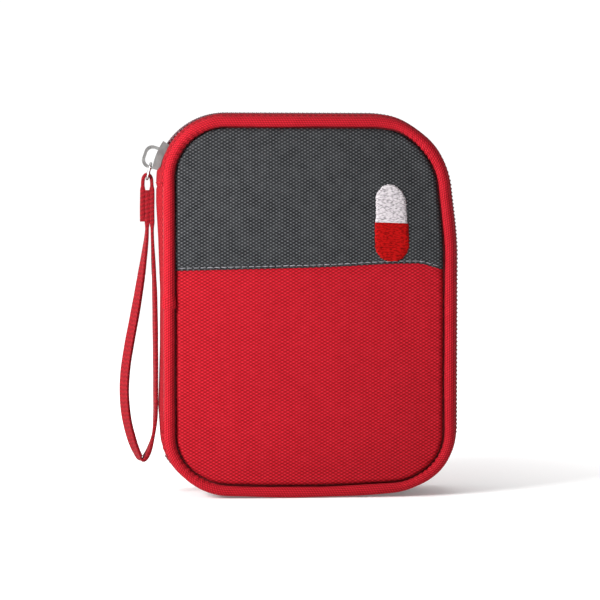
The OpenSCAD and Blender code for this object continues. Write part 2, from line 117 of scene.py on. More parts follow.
def make_studio():
    """Pale light all round, two lamps, a white backdrop that glows evenly, and a floor that glows, dimmer
    round the bag as a painted shadow.
    """
    scene = bpy.context.scene
    scene.view_settings.view_transform = "Standard"
    world = bpy.data.worlds.new("studio")
    world.use_nodes = True
    world.node_tree.nodes["Background"].inputs["Color"].default_value = (1, 1, 1, 1)
    world.node_tree.nodes["Background"].inputs["Strength"].default_value = 0.3
    scene.world = world
    middle = (0, 0, COVER_H / 2)
    make_lamp("key", (-0.33, -0.24, 0.2), (-0.02, 0, 0.07), 0.16, 3.2)
    make_lamp("top", (-0.1, -0.05, 1.1), middle, 0.7, 5.0)
    white = Shader("studio_floor_glow", (0.9, 0.9, 0.9), 0.9)
    _, x, y, _ = white.place()
    # The floor glows dimly within about 6 cm of the bag and brightly beyond about 22 cm: a painted shadow
    # round the bag on a glowing floor.
    glow_outside_painted_shadow = (x * x + y * y).smooth(0.004, 0.05)
    white.set("Emission Color", white.mix(glow_outside_painted_shadow, (0.16, 0.16, 0.16), (0.62, 0.62, 0.62)))
    white.set("Emission Strength", 1.0)
    bpy.ops.mesh.primitive_plane_add(size=8, location=(0, 0, 0))
    floor = bpy.context.object
    floor.name = "floor"
    floor.data.materials.append(white.material)
    glow = Shader("backdrop_glow", (0.0, 0.0, 0.0), 1.0, specular=0.0)
    glow.set("Emission Color", (1, 1, 1, 1))
    glow.set("Emission Strength", 1.05)
    bpy.ops.mesh.primitive_plane_add(size=8, location=(0, 2.6, 0), rotation=(math.pi / 2, 0, 0))
    backdrop = bpy.context.object
    backdrop.name = "backdrop"
    backdrop.data.materials.append(glow.material)


# ---- Shader maths ----

class Value:
    """A number in a shader, so that shader maths reads as Python."""

    def __init__(self, tree, socket):
        self.tree, self.socket = tree, socket

    def math(self, kind, *others, clamp=False):
        node = self.tree.nodes.new("ShaderNodeMath")
        node.operation, node.use_clamp = kind, clamp
        for slot, value in zip(node.inputs, (self, *others)):
            if isinstance(value, Value):
                self.tree.links.new(value.socket, slot)
            else:
                slot.default_value = value
        return Value(self.tree, node.outputs[0])

    def swapped(self, kind, other):
        node = self.tree.nodes.new("ShaderNodeMath")
        node.operation = kind
        node.inputs[0].default_value = other
        self.tree.links.new(self.socket, node.inputs[1])
        return Value(self.tree, node.outputs[0])

    def __add__(self, other):
        return self.math("ADD", other)

    def __sub__(self, other):
        return self.math("SUBTRACT", other)

    def __mul__(self, other):
        return self.math("MULTIPLY", other)

    def __truediv__(self, other):
        return self.math("DIVIDE", other)

    def __mod__(self, other):
        return self.math("FLOORED_MODULO", other)

    def __radd__(self, other):
        return self.swapped("ADD", other)

    def __rsub__(self, other):
        return self.swapped("SUBTRACT", other)

    def __rmul__(self, other):
        return self.swapped("MULTIPLY", other)

    def __rtruediv__(self, other):
        return self.swapped("DIVIDE", other)

    def sin(self):
        return self.math("SINE")

    def cos(self):
        return self.math("COSINE")

    def floor(self):
        return self.math("FLOOR")

    def size(self):
        return self.size()

    def clamped(self):
        return self.math("ADD", 0.0, clamp=True)

    def smooth(self, low, high):
        """0 under low, 1 over high, smooth between."""
        node = self.tree.nodes.new("ShaderNodeMapRange")
        node.interpolation_type = "SMOOTHSTEP"
        self.tree.links.new(self.socket, node.inputs["Value"])
        node.inputs["From Min"].default_value = low
        node.inputs["From Max"].default_value = high
        return Value(self.tree, node.outputs["Result"])


class Shader:
    """A material whose uniform values sit on its Principled node, and whose patterns feed it."""

    def __init__(self, name, colour=(0.8, 0.8, 0.8), rough=0.8, metal=0.0, sheen=0.0, specular=0.3):
        self.material = bpy.data.materials.new(name)
        self.material.use_nodes = True
        self.tree = self.material.node_tree
        self.main = self.tree.nodes["Principled BSDF"]
        self.set("Base Color", (*colour, 1))
        self.set("Roughness", rough)
        self.set("Metallic", metal)
        self.set("Sheen Weight", sheen)
        self.set("Specular IOR Level", specular)
        self.material.diffuse_color = (*colour, 1)

    def set(self, socket, value):
        self.plug(self.main.inputs[socket], value)

    def plug(self, socket, value):
        if isinstance(value, Value):
            self.tree.links.new(value.socket, socket)
        elif isinstance(value, bpy.types.NodeSocket):
            self.tree.links.new(value, socket)
        else:
            socket.default_value = value

    def node(self, kind, settings=None, **sockets):
        node = self.tree.nodes.new("ShaderNode" + kind)
        for key, value in (settings or {}).items():
            setattr(node, key, value)
        for key, value in sockets.items():
            self.plug(node.inputs[key.replace("_", " ")], value)
        return node

    def value(self, socket):
        return Value(self.tree, socket)

    def place(self):
        """The point on the surface, in metres, and its three numbers."""
        vector = self.node("TexCoord").outputs["Object"]
        split = self.node("SeparateXYZ", Vector=vector)
        return vector, *(self.value(split.outputs[k]) for k in range(3))

    def cloth(self):
        """Distances along and across the cloth, in metres, from the piece's own map."""
        vector = self.node("UVMap", {"uv_map": "cloth"}).outputs["UV"]
        split = self.node("SeparateXYZ", Vector=vector)
        return self.value(split.outputs[0]), self.value(split.outputs[1])

    def noise(self, vector, scale, detail=2.0, rough=0.5):
        node = self.node("TexNoise", Vector=vector, Scale=scale, Detail=detail, Roughness=rough)
        return self.value(node.outputs["Fac"])

    def stretched(self, vector, x, y, z):
        return self.node("Mapping", {"vector_type": "POINT"}, Vector=vector, Scale=(x, y, z)).outputs[0]

    def joined(self, x, y, z=0.0):
        return self.node("CombineXYZ", X=x, Y=y, Z=z).outputs[0]

    def mix(self, factor, a, b):
        node = self.node("Mix", {"data_type": "RGBA"})
        self.plug(node.inputs["Factor"], factor)
        for socket, colour in ((node.inputs[6], a), (node.inputs[7], b)):
            self.plug(socket, (*colour, 1) if isinstance(colour, tuple) else colour)
        return node.outputs[2]

    def bump(self, height, depth, strength=1.0):
        """Turns a height from 0 to 1 into relief of depth metres."""
        node = self.node("Bump", Height=height, Distance=depth, Strength=strength)
        self.plug(self.main.inputs["Normal"], node.outputs[0])


def plain(name, colour, rough, **more):
    return Shader(name, colour, rough, **more).material


def tinted(colour, share):
    return tuple(c * share for c in colour)


# ---- Cloth, thread and metal ----

def canvas(name, colour, gap_shade, crown_highlight, across=1.04 * MM, down=0.61 * MM, turn=0.0, mapped=False,
           depth=0.2 * MM):
    """Plain-weave canvas: colour is the thread in the light, the first darker colour the painted shade that
    shows between the threads, the bright one the painted highlight on their tops.
    """
    s = Shader(name, colour, 0.78, specular=0.14)
    vector, x, y, z = s.place()
    if mapped:
        u, v = s.cloth()
        vector = s.joined(u, v)
    else:
        u, v = x, z
    if turn:
        c, k = math.cos(turn), math.sin(turn)
        u, v = u * c + v * k, v * c - u * k
    wander = (s.noise(vector, 900, 1) - 0.5) * 0.5
    warp = u * (math.pi / across) + wander
    weft = v * (math.pi / down) + wander * 0.6
    warp_top = warp.cos()
    tops = warp_top * weft.cos()
    threads = 0.5 + 0.5 * tops
    slub = s.noise(vector, 260, 3)
    soft = s.noise(vector, 45, 3)
    fluff = s.noise(vector, 4200, 2)
    # light marks a painted highlight on the thread crowns; the hollows between threads take the painted shade
    # colour.
    light = (tops.smooth(0.1, 0.9) * (warp_top * warp_top * 1.1).clamped() + slub * 0.3 - 0.08).clamped()
    base = s.mix(threads.smooth(0.1, 0.7), gap_shade, colour)
    base = s.mix(light * (0.35 + 0.5 * fluff), base, crown_highlight)
    shade = s.mix((soft - 0.35) * 0.22, base, gap_shade)
    s.set("Base Color", shade)
    s.set("Roughness", 0.86 - light * 0.14)
    s.bump(threads * 0.8 + fluff * 0.2 + slub * 0.15, depth, 0.9)
    return s.material


def tape_cloth(name, colour, pitch=0.7 * MM):
    """Close woven tape: ribs across it, a few threads wide."""
    s = Shader(name, colour, 0.72, specular=0.15)
    u, v = s.cloth()
    vector = s.joined(u, v)
    chevron = (v * (1 / (2.4 * MM)) % 1.0 - 0.5).math("ABSOLUTE")
    ribs = (u * (math.pi / pitch) + chevron * 5.0).sin()
    fluff = s.noise(vector, 3800, 2)
    rows = (v * (math.pi / (0.42 * MM))).sin()
    height = 0.5 + 0.3 * ribs + 0.2 * rows
    # The rib hollows are painted darker and the rib tops lighter: painted shade and painted highlight on one
    # colour.
    s.set("Base Color",
          s.mix(height.smooth(0.05, 0.95) * (0.55 + 0.5 * fluff), tinted(colour, 0.66), tinted(colour, 1.25)))
    s.bump(height + fluff * 0.2, 0.1 * MM, 0.9)
    return s.material


def satin(name, colour, light):
    """Embroidery thread, laid across."""
    s = Shader(name, colour, 0.6, specular=0.05)
    vector, *_ = s.place()
    strand = s.noise(s.stretched(vector, 0.3, 1.0, 1.0), 2900, 2)
    # Between strands the colour is painted down to half, as painted shade, and the strands take the light
    # colour as a painted sheen.
    s.set("Base Color", s.mix(strand.smooth(0.32, 0.6), tinted(colour, 0.5), light))
    s.bump(strand, 0.06 * MM, 0.8)
    return s.material


def nickel():
    """Plated metal, with fine rubbed scratches and duller smudges."""
    s = Shader("nickel", (0.56, 0.55, 0.54), 0.3, metal=1.0)
    vector, *_ = s.place()
    rubbed = s.noise(s.stretched(vector, 1, 1, 0.15), 1800, 3)
    smudge = s.noise(vector, 350, 3)
    s.set("Roughness", 0.22 + rubbed * 0.14 + smudge * 0.12)
    s.set("Base Color", s.mix(smudge.smooth(0.35, 0.75), (0.42, 0.415, 0.41), (0.27, 0.265, 0.26)))
    s.bump(rubbed, 0.012 * MM, 0.5)
    return s.material


def nylon(name, colour, light):
    s = Shader(name, colour, 0.38, specular=0.5)
    vector, *_ = s.place()
    mottle = s.noise(vector, 700, 3)
    s.set("Base Color", s.mix(mottle.smooth(0.3, 0.8), colour, light))
    s.set("Roughness", 0.3 + mottle * 0.2)
    return s.material


def lining_cloth(name, colour):
    """Smooth nylon lining: fine taffeta with faint creases."""
    s = Shader(name, colour, 0.55, sheen=0.1, specular=0.35)
    vector, x, y, z = s.place()
    weave = (x * (math.pi / (0.32 * MM))).sin() * (z * (math.pi / (0.32 * MM))).sin()
    crease = s.noise(vector, 70, 4)
    # The weave's hollows and the crease valleys are painted into a darker copy of the colour and their tops
    # into a lighter one: painted shade and painted highlight.
    s.set("Base Color",
          s.mix((0.5 + 0.5 * weave) * 0.5 + crease * 0.4, tinted(colour, 0.72), tinted(colour, 1.25)))
    s.set("Roughness", 0.5 + crease * 0.15)
    s.bump(weave * 0.03 + crease, 0.5 * MM, 0.6)
    return s.material


def elastic_cloth(name, colour):
    """Ribbed elastic, its ribs running along the band."""
    s = Shader(name, colour, 0.8, sheen=0.1, specular=0.2)
    vector, x, y, z = s.place()
    ribs = (z * (math.pi / (0.75 * MM))).sin()
    knit = (x * (math.pi / (0.6 * MM))).sin() * (z * (math.pi / (0.38 * MM))).sin()
    fluff = s.noise(vector, 3500, 2)
    # The ribs' hollows are painted darker and their tops lighter: painted shade and painted highlight on one
    # colour.
    s.set("Base Color",
          s.mix((0.5 + 0.3 * ribs + 0.2 * knit) * (0.6 + 0.5 * fluff), tinted(colour, 0.5),
                tinted(colour, 1.9)))
    s.bump(0.5 + 0.35 * ribs + 0.15 * knit, 0.18 * MM, 0.9)
    return s.material


def mesh_cloth():
    """Knitted mesh: round holes in staggered rows, cut through with alpha."""
    s = Shader("pocket_mesh", (0.05, 0.052, 0.058), 0.7, specular=0.3)
    _, x, _, z = s.place()
    pitch = 2.0 * MM
    row = (z / (pitch * 0.8)).floor()
    u = (x / pitch + (row % 2.0) * 0.5) % 1.0 - 0.5
    v = (z / (pitch * 0.8)) % 1.0 - 0.5
    hole = (u * u + v * v * 0.8).smooth(0.07, 0.1)
    knit = (x * (math.pi / (0.25 * MM))).sin() * (z * (math.pi / (0.25 * MM))).sin()
    # The knit's hollows are painted darker and its loops lighter: painted shade and painted highlight.
    s.set("Base Color", s.mix(0.5 + 0.5 * knit, (0.035, 0.036, 0.04), (0.09, 0.092, 0.1)))
    s.set("Alpha", hole)
    s.bump(knit * 0.3 + hole * 0.7, 0.12 * MM, 0.8)
    return s.material


def coated_paper(name, colour, shade_and_fibre_tint):
    """A sealed packet: coated paper with a crimped margin and faint creases."""
    s = Shader(name, colour, 0.42, specular=0.45)
    vector, *_ = s.place()
    crease = s.noise(vector, 120, 4)
    fibres = s.noise(vector, 2600, 2)
    # Where the crease noise is high the colour goes to the darker tint, as painted shade of the creases; the
    # fibre noise adds random tone.
    s.set("Base Color", s.mix(crease * 0.35 + fibres * 0.2, colour, shade_and_fibre_tint))
    s.set("Roughness", 0.36 + fibres * 0.2)
    s.bump(crease, 0.9 * MM, 0.7)
    return s.material


def crepe(name, colour):
    """Crinkled bandage cloth."""
    s = Shader(name, colour, 0.9, sheen=0.1, specular=0.15)
    vector, x, y, z = s.place()
    crinkle = s.noise(s.stretched(vector, 1, 1, 0.3), 900, 3)
    weave = (x * (math.pi / (0.7 * MM)) + crinkle * 4.0).sin() * (z * (math.pi / (0.7 * MM))).sin()
    # The weave's hollows are painted darker than the thread: painted shade.
    s.set("Base Color", s.mix(0.5 + 0.5 * weave, tinted(colour, 0.7), colour))
    s.bump(0.5 + 0.35 * weave + crinkle * 0.5, 0.25 * MM, 0.9)
    return s.material


def brushed_steel():
    s = Shader("steel", (0.6, 0.61, 0.63), 0.3, metal=1.0)
    vector, *_ = s.place()
    grain = s.noise(s.stretched(vector, 1, 1, 0.04), 2600, 2)
    s.set("Roughness", 0.24 + grain * 0.2)
    s.bump(grain, 0.01 * MM, 0.5)
    return s.material


def foam():
    s = Shader("foam", (0.62, 0.62, 0.6), 0.9)
    vector, *_ = s.place()
    cells = s.value(s.node("TexVoronoi", Vector=vector, Scale=2200).outputs["Distance"])
    # The pores are painted darker than the cell walls: painted shade in the pores.
    s.set("Base Color", s.mix(cells.smooth(0.1, 0.6), (0.5, 0.5, 0.48), (0.68, 0.68, 0.66)))
    s.bump(cells, 0.1 * MM, 0.6)
    return s.material


# ---- Meshes ----

def settled(points):
    """Soft pieces, sagging a little between the lower corners and worn rounder at the upper right one."""
    points = np.array(points, float)
    x, z = points[:, 0].copy(), points[:, 2].copy()
    worn = 4.2 * MM * eased(x, 22 * MM, 46 * MM) * eased(z, 88 * MM, 128 * MM)
    points[:, 0] -= 0.72 * worn
    points[:, 2] -= 0.6 * worn
    lift = np.minimum(1.5 * MM * ((x + 4 * MM) / (36 * MM)) ** 2, 2.2 * MM)
    points[:, 2] += lift * np.clip(1 - z / (40 * MM), 0, 1) ** 2
    return points


def make_mesh(name, points, faces, material, uv=None, smooth=True):
    """A mesh object from points and faces, with the cloth's own map where one is given."""
    mesh = bpy.data.meshes.new(name)
    mesh.from_pydata(settled(points).tolist(), [], [tuple(map(int, f)) for f in faces])
    if uv is not None:
        layer = mesh.uv_layers.new(name="cloth")
        layer.data.foreach_set("uv", np.array(uv, float).ravel())
    mesh.materials.append(material)
    edit = bmesh.new()
    edit.from_mesh(mesh)
    bmesh.ops.recalc_face_normals(edit, faces=edit.faces)
    edit.to_mesh(mesh)
    edit.free()
    mesh.polygons.foreach_set("use_smooth", [smooth] * len(mesh.polygons))
    obj = bpy.data.objects.new(name, mesh)
    bpy.context.collection.objects.link(obj)
    return obj


def grid_faces(n, m, closed, tube, first=0, keep=None):
    quads = []
    for i in range(n if closed else n - 1):
        for j in range(m if tube else m - 1):
            if keep is None or keep(i, j):
                quads.append(((i, j), (i + 1, j), (i + 1, j + 1), (i, j + 1)))
    faces = [[first + (a % n) * m + b % m for a, b in q] for q in quads]
    return faces, quads


def grid(name, rows, material, along, across, closed=False, tube=False, caps=False, keep=None):
    """A sheet or tube through rows of points. along and across place them on the cloth, in metres."""
    rows = np.array(rows)
    n, m = rows.shape[:2]
    faces, quads = grid_faces(n, m, closed, tube, keep=keep)
    along = np.append(along, 2 * along[-1] - along[-2])
    across = np.append(across, 2 * across[-1] - across[-2])
    uv = [(along[a], across[b]) for q in quads for a, b in q]
    if caps:
        for i in (0, n - 1):
            faces.append([i * m + j for j in range(m)])
            uv += [(along[i], across[j]) for j in range(m)]
    return make_mesh(name, rows.reshape(-1, 3), faces, material, uv)


def joined_meshes(name, parts, material):
    """One piece from several (points, faces) pairs."""
    points, faces = [], []
    for more, shapes in parts:
        faces += [[len(points) + k for k in f] for f in shapes]
        points += list(more)
    return make_mesh(name, points, faces, material)


class Ring:
    """A rounded rectangle seen from the front, from the middle of the left side upwards and round.

    Rings with the same counts have matching points. p are points in X and Z, n normals, s distances.
    """

    def __init__(self, width, low, high, radius, side=60, corner=48, end=44):
        self.radius = radius
        x, z0, z1, mid = width / 2, low + radius, high - radius, (low + high) / 2
        quarter = np.linspace(0, math.pi / 2, corner, endpoint=False)
        runs = [
            ((-x, mid), (-x, z1), side),
            ((-x + radius, z1), math.pi),
            ((-x + radius, high), (x - radius, high), end),
            ((x - radius, z1), math.pi / 2),
            ((x, z1), (x, z0), 2 * side),
            ((x - radius, z0), 0.0),
            ((x - radius, low), (-x + radius, low), end),
            ((-x + radius, z0), -math.pi / 2),
            ((-x, z0), (-x, mid), side),
        ]
        points, normals = [], []
        self.start = []
        for run in runs:
            self.start.append(len(points))
            if len(run) == 3:
                (x0, y0), (x1, y1), count = run
                length = math.hypot(x1 - x0, y1 - y0)
                normal = (-(y1 - y0) / length, (x1 - x0) / length)
                for t in np.linspace(0, 1, count, endpoint=False):
                    points.append((x0 + (x1 - x0) * t, y0 + (y1 - y0) * t))
                    normals.append(normal)
            else:
                (cx, cz), begin = run
                for a in begin - quarter:
                    points.append((cx + radius * math.cos(a), cz + radius * math.sin(a)))
                    normals.append((math.cos(a), math.sin(a)))
        self.p, self.n = np.array(points), np.array(normals)
        step = np.linalg.norm(np.roll(self.p, -1, axis=0) - self.p, axis=1)
        self.s = np.concatenate([[0], np.cumsum(step)])
        self.length = self.s[-1]

    def at(self, s):
        """Point and normal at distance s along the ring."""
        s = s % self.length
        i = int(np.searchsorted(self.s, s, side="right") - 1)
        t = (s - self.s[i]) / (self.s[i + 1] - self.s[i])
        k = (i + 1) % len(self.p)
        n = self.n[i] * (1 - t) + self.n[k] * t
        return self.p[i] * (1 - t) + self.p[k] * t, n / np.linalg.norm(n)

    def corner_s(self, which, degrees):
        """Distance to a place on corner 0 (upper left) to 3 (lower left), in degrees from its beginning."""
        return self.s[self.start[1 + 2 * which]] + math.radians(degrees) * self.radius


# ---- Shapes that several pieces share ----

COVER = Ring(COVER_W, 0, COVER_H, CORNER_R)


def swell(n):
    """How far the zipper stands out past the cover, by the direction that the outline faces."""
    upward, downward = np.maximum(n[:, 1], 0), np.maximum(-n[:, 1], 0)
    return COIL_SIDE - (COIL_SIDE - COIL_TOP) * upward - (COIL_SIDE + 0.2 * MM) * downward


def inside_by(x, z, inset=0.0):
    """How far inside the cover's outline, drawn in by inset, a point lies."""
    qx = np.abs(x) - (COVER_W / 2 - CORNER_R)
    qz = np.abs(z - COVER_H / 2) - (COVER_H / 2 - CORNER_R)
    corner = np.hypot(np.maximum(qx, 0), np.maximum(qz, 0))
    return CORNER_R - corner - np.minimum(np.maximum(qx, qz), 0) - inset


def eased(t, low, high):
    t = np.clip((t - low) / (high - low), 0, 1)
    return t * t * (3 - 2 * t)


def ripple(x, z, seed, size):
    """Slow unevenness of hand-filled cloth, from -1 to 1."""
    pick = np.random.default_rng(seed)
    total = 0
    for k in range(5):
        a, phase = pick.uniform(0, math.pi), pick.uniform(0, 6.28)
        wave = 2 * math.pi / (size * (1 + 0.5 * k))
        total = total + np.sin((x * math.cos(a) + z * math.sin(a)) * wave + phase) / 5
    return total


def fan(centre, outline, shares):
    """Rows of points from centre out to each point of outline."""
    outline = np.array(outline)
    return centre + (outline - centre)[:, None, :] * np.array(shares)[None, :, None]


SHARES = np.concatenate([np.linspace(0, 0.9, 60, endpoint=False), np.linspace(0.9, 0.97, 10, endpoint=False),
                         np.linspace(0.97, 1, 14)])


# ---- The padded covers ----

def blown_up(name):
    """A flat envelope blown up as cloth with its border held, and what it rises by at a point."""
    rise_limit = 2.0 * MM
    flat = Ring(COVER_W - 2 * PANEL_IN, PANEL_IN, COVER_H - PANEL_IN, CORNER_R - PANEL_IN, 16, 10, 12)
    rows = fan(np.array([0, COVER_H / 2]), flat.p, np.linspace(0, 1, 16))
    thick = 9 * MM
    front = np.insert(rows, 1, 0.0, axis=2)
    back = np.insert(rows[:, ::-1], 1, thick, axis=2)
    n = len(rows)
    shell = grid(name + "_envelope", np.concatenate([front, back], axis=1), plain("envelope", (1, 1, 1), 1),
                 np.zeros(n), np.zeros(32), closed=True)
    edit = bmesh.new()
    edit.from_mesh(shell.data)
    bmesh.ops.remove_doubles(edit, verts=edit.verts, dist=1e-5)
    bmesh.ops.recalc_face_normals(edit, faces=edit.faces)
    edit.to_mesh(shell.data)
    edit.free()
    remesh = shell.modifiers.new("remesh", "REMESH")
    remesh.mode = "VOXEL"
    remesh.voxel_size = 4 * MM
    bpy.context.view_layer.objects.active = shell
    bpy.ops.object.modifier_apply(modifier="remesh")
    held = shell.vertex_groups.new(name="held")
    for vertex in shell.data.vertices:
        x, y, z = vertex.co
        if y > 2 * MM or inside_by(x, z, PANEL_IN) < 2 * MM:
            held.add([vertex.index], 1.0, "REPLACE")
    cloth = shell.modifiers.new("cloth", "CLOTH")
    cloth.settings.quality = 6
    cloth.settings.use_pressure = True
    cloth.settings.uniform_pressure_force = 4
    cloth.settings.vertex_group_mass = "held"
    cloth.settings.effector_weights.gravity = 0
    cloth.settings.tension_stiffness = 25
    cloth.settings.bending_stiffness = 1.5
    cloth.point_cache.frame_start = 1
    cloth.point_cache.frame_end = 20
    for step in range(1, 21):
        bpy.context.scene.frame_set(step)
    bpy.ops.object.modifier_apply(modifier="cloth")
    bpy.context.scene.frame_set(1)
    tree = BVHTree.FromPolygons([v.co for v in shell.data.vertices],
                                [p.vertices for p in shell.data.polygons])
    hits = {}

    def raw(x, z):
        key = (round(float(x), 7), round(float(z), 7))
        if key not in hits:
            hit = tree.ray_cast(Vector((key[0], -0.2, key[1])), Vector((0, 1, 0)))[0]
            hits[key] = -hit[1] if hit is not None else 0.0
        return hits[key]

    top = max(raw(x, z) for x in np.linspace(-0.03, 0.03, 9) for z in np.linspace(0.03, 0.11, 12))
    print("padding", name, "rises", round(top / MM, 2), "mm")
    share = min(1.0, rise_limit / max(top, 1e-6))
    bpy.data.objects.remove(shell)
    return lambda x, z: max(raw(x, z), 0.0) * share


def seam(x):
    """Height of the front seam: a little slanting, and drawn down into the right edge."""
    crest = 0.7 * MM * np.exp(-(((x - 32 * MM) / (18 * MM)) ** 2))
    return SEAM_Z + 1.8 * MM + 0.022 * x + crest - 2.2 * MM * eased(x, 39 * MM, 50 * MM)


def cover_face(x, z, rise, seed):
    """Depth of a padded cover's outer face: rolled in beside the piping, and a little uneven."""
    d = np.maximum(inside_by(x, z, PANEL_IN), 0)
    roll = 2.0 * MM
    rolled = roll * (1 - np.sqrt(np.maximum(1 - (1 - np.minimum(d / roll, 1)) ** 2, 0)))
    uneven = ripple(x, z, seed, 21 * MM) * 0.22 * MM * eased(d, 0, 12 * MM)
    pucker = 0.12 * MM * np.sin(x * 900 + z * 1100 + 3 * np.sin(x * 160)) * np.exp(-d / (2.5 * MM))
    return PANEL_Y - 0.7 * MM + rise - rolled + uneven + pucker


def padded_cover(name, side, outline, body, nodes, material, rise, seed, lap=None):
    """A cover's canvas over its foam, as one closed piece. outline is in X and Z; side is -1 at the front."""
    outline = np.array(outline)
    centre = outline.mean(axis=0)
    rows = fan(centre, outline, SHARES)
    x, z = rows[:, :, 0], rows[:, :, 1]
    rises = np.vectorize(rise, otypes=[float])(x, z)
    y = cover_face(x, z, rises, seed)
    if lap:
        y = y + lap(x, z)
    rim = np.full(len(outline), PANEL_Y - 3.0 * MM)
    front = np.stack([x, side * y, z], axis=2)
    back = np.stack([x[:, ::-6], side * np.repeat(rim[:, None], x[:, ::-6].shape[1], 1), z[:, ::-6]], axis=2)
    rows = np.concatenate([front, back], axis=1)
    n, m = rows.shape[:2]
    piece = grid(name, rows, material, np.zeros(n), np.zeros(m), closed=True)
    edit = bmesh.new()
    edit.from_mesh(piece.data)
    bmesh.ops.remove_doubles(edit, verts=edit.verts, dist=1e-6)
    bmesh.ops.recalc_face_normals(edit, faces=edit.faces)
    edit.to_mesh(piece.data)
    edit.free()
    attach(piece, body)
    if nodes:
        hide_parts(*nodes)
    return piece


def stitches(name, spots, body, material, thick=0.32 * MM, sides=6):
    """Thread along a seam. A spot is where a stitch goes in, where it comes out and which way is up."""
    parts = []
    for a, b, up in spots:
        a, b, up = np.array(a), np.array(b), np.array(up)
        along = b - a
        across = np.cross(along / np.linalg.norm(along), up)
        points = []
        steps = np.linspace(0, math.pi, 6)
        for t in steps:
            middle = a + along * (1 - math.cos(t)) / 2 + up * thick * (0.35 * math.sin(t) - 0.12)
            r = thick / 2 * max(math.sin(t), 0.12) ** 0.5
            for k in range(sides):
                q = 2 * math.pi * k / sides
                points.append(middle + across * r * math.cos(q) + up * r * math.sin(q))
        faces, _ = grid_faces(len(steps), sides, False, True)
        faces.append(list(range(sides)))
        faces.append([len(points) - 1 - k for k in range(sides)])
        parts.append((points, faces))
    piece = joined_meshes(name, parts, material)
    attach(piece, body)
    return piece


def front_outline(upper, overlap):
    """The part of the front panel above or below the seam, overlap further than the seam itself."""
    flat = Ring(COVER_W - 2 * PANEL_IN, PANEL_IN, COVER_H - PANEL_IN, CORNER_R - PANEL_IN)
    half = COVER_W / 2 - PANEL_IN
    line = [(x, seam(x) + overlap) for x in np.linspace(half, -half, 130)]
    if upper:
        start = list(flat.p)
        kept = [p for p in start if p[1] > seam(p[0]) + overlap + 0.2 * MM]
        return kept + line
    order = np.roll(flat.p, -flat.start[4], axis=0)
    kept = [p for p in order if p[1] < seam(p[0]) + overlap - 0.2 * MM]
    return kept + line[::-1]


def make_covers(grey, red, thread, padding):
    """The front and back canvases, the foam under them and the stitches over the front seam."""
    rise = blown_up("cover")

    def over(x, z):
        above = z - seam(x)
        fold = 0.2 * MM + 0.42 * MM * (1 - eased(above, 3 * MM, 9 * MM))
        edge = 0.35 * MM * (1 - eased(above, 0, 0.3 * MM))
        stitched = 0.2 * MM * np.exp(-(((above - 0.9 * MM) / (0.4 * MM)) ** 2))
        return fold - edge - stitched - 0.45 * MM * np.exp(-((above / (5 * MM)) ** 2))

    def under(x, z):
        below = seam(x) - z
        return -0.45 * MM * np.exp(-((below / (5 * MM)) ** 2))

    padded_cover("front_canvas_grey", -1, front_outline(True, 0.0), "front_shell", ["front_panel_upper"],
                 grey, rise, 3, over)
    padded_cover("front_canvas_red", -1, front_outline(False, 2 * MM), "front_shell", ["front_panel_lower"],
                 red, rise, 3, under)
    flat = Ring(COVER_W - 2 * PANEL_IN, PANEL_IN, COVER_H - PANEL_IN, CORNER_R - PANEL_IN)
    padded_cover("back_canvas", 1, flat.p, "back_shell", ["back_panel"], red, rise, 8)
    small = Ring(COVER_W - 2 * PANEL_IN - 5 * MM, PANEL_IN + 2.5 * MM, COVER_H - PANEL_IN - 2.5 * MM,
                 CORNER_R - PANEL_IN)
    for side, half in ((-1, "front"), (1, "back")):
        rows = fan(np.array([0, COVER_H / 2]), small.p, np.linspace(0, 1, 24))
        x, z = rows[:, :, 0], rows[:, :, 1]
        inner = np.stack([x, np.full_like(x, side * (PANEL_Y - 2.7 * MM)), z], axis=2)
        outer = np.stack([x, np.full_like(x, side * BOARD_Y), z], axis=2)[:, ::-1]
        slab = grid(half + "_foam", np.concatenate([inner, outer], axis=1), padding, np.zeros(len(rows)),
                    np.zeros(48),
                    closed=True)
        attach(slab, half + "_shell")
        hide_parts(half + "_board")
    spots = []
    half = COVER_W / 2 - PANEL_IN - 1.2 * MM
    pitch = 2.5 * MM
    for k in range(int(2 * half / pitch)):
        x0 = -half + k * pitch
        ends = []
        for x in (x0 + 0.25 * MM, x0 + pitch - 0.25 * MM):
            z = seam(x) + 0.9 * MM
            y = cover_face(x, z, rise(x, z), 3) + over(x, z)
            ends.append((x, -y - 0.03 * MM, z))
        spots.append((ends[0], ends[1], (0, -1, 0)))
    stitches("seam_stitches", spots, "front_shell", thread, 0.28 * MM)
    return rise


# ---- Piping, walls, tape and zipper ----

def make_piping(name, side, body, node, material):
    """Bias-cut cloth round a cord: gathered into ribs in the corners, its end lapped over its beginning."""
    line = Ring(COVER_W - 2 * PIPE_R, PIPE_R, COVER_H - PIPE_R, CORNER_R - PIPE_R, 110, 84, 78)
    turned = 28
    lap_length = 6 * MM
    pick = np.random.default_rng(5 + side)
    phase = pick.uniform(0, 6.28)
    rows = []
    cornered = np.abs(line.n[:, 0] * line.n[:, 1]) * 2
    for i, (p, n) in enumerate(zip(line.p, line.n)):
        s = line.s[i]
        lap = 0.5 * MM * (1 - eased(s, lap_length * 0.3, lap_length)) if side < 0 else 0
        base = PIPE_R - 0.14 * MM + lap + 0.07 * MM * math.sin(s * 210 + phase) + 0.05 * MM * math.sin(s * 87)
        row = []
        for k in range(turned):
            a = 2 * math.pi * k / turned
            out, fore = math.cos(a), math.sin(a)
            rib = 0.13 * MM * cornered[i] * math.sin(s * 2 * math.pi / (2.3 * MM)) * max(-out + 0.4, 0)
            r = base + rib
            q = p + n * r * out
            row.append((q[0], side * (PIPE_Y + r * fore), q[1]))
        rows.append(row)
    around = np.linspace(0, 2 * math.pi * PIPE_R, turned, endpoint=False)
    piece = grid(name, rows, material, line.s[:-1], around, closed=True, tube=True)
    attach(piece, body)
    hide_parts(node)
    return piece


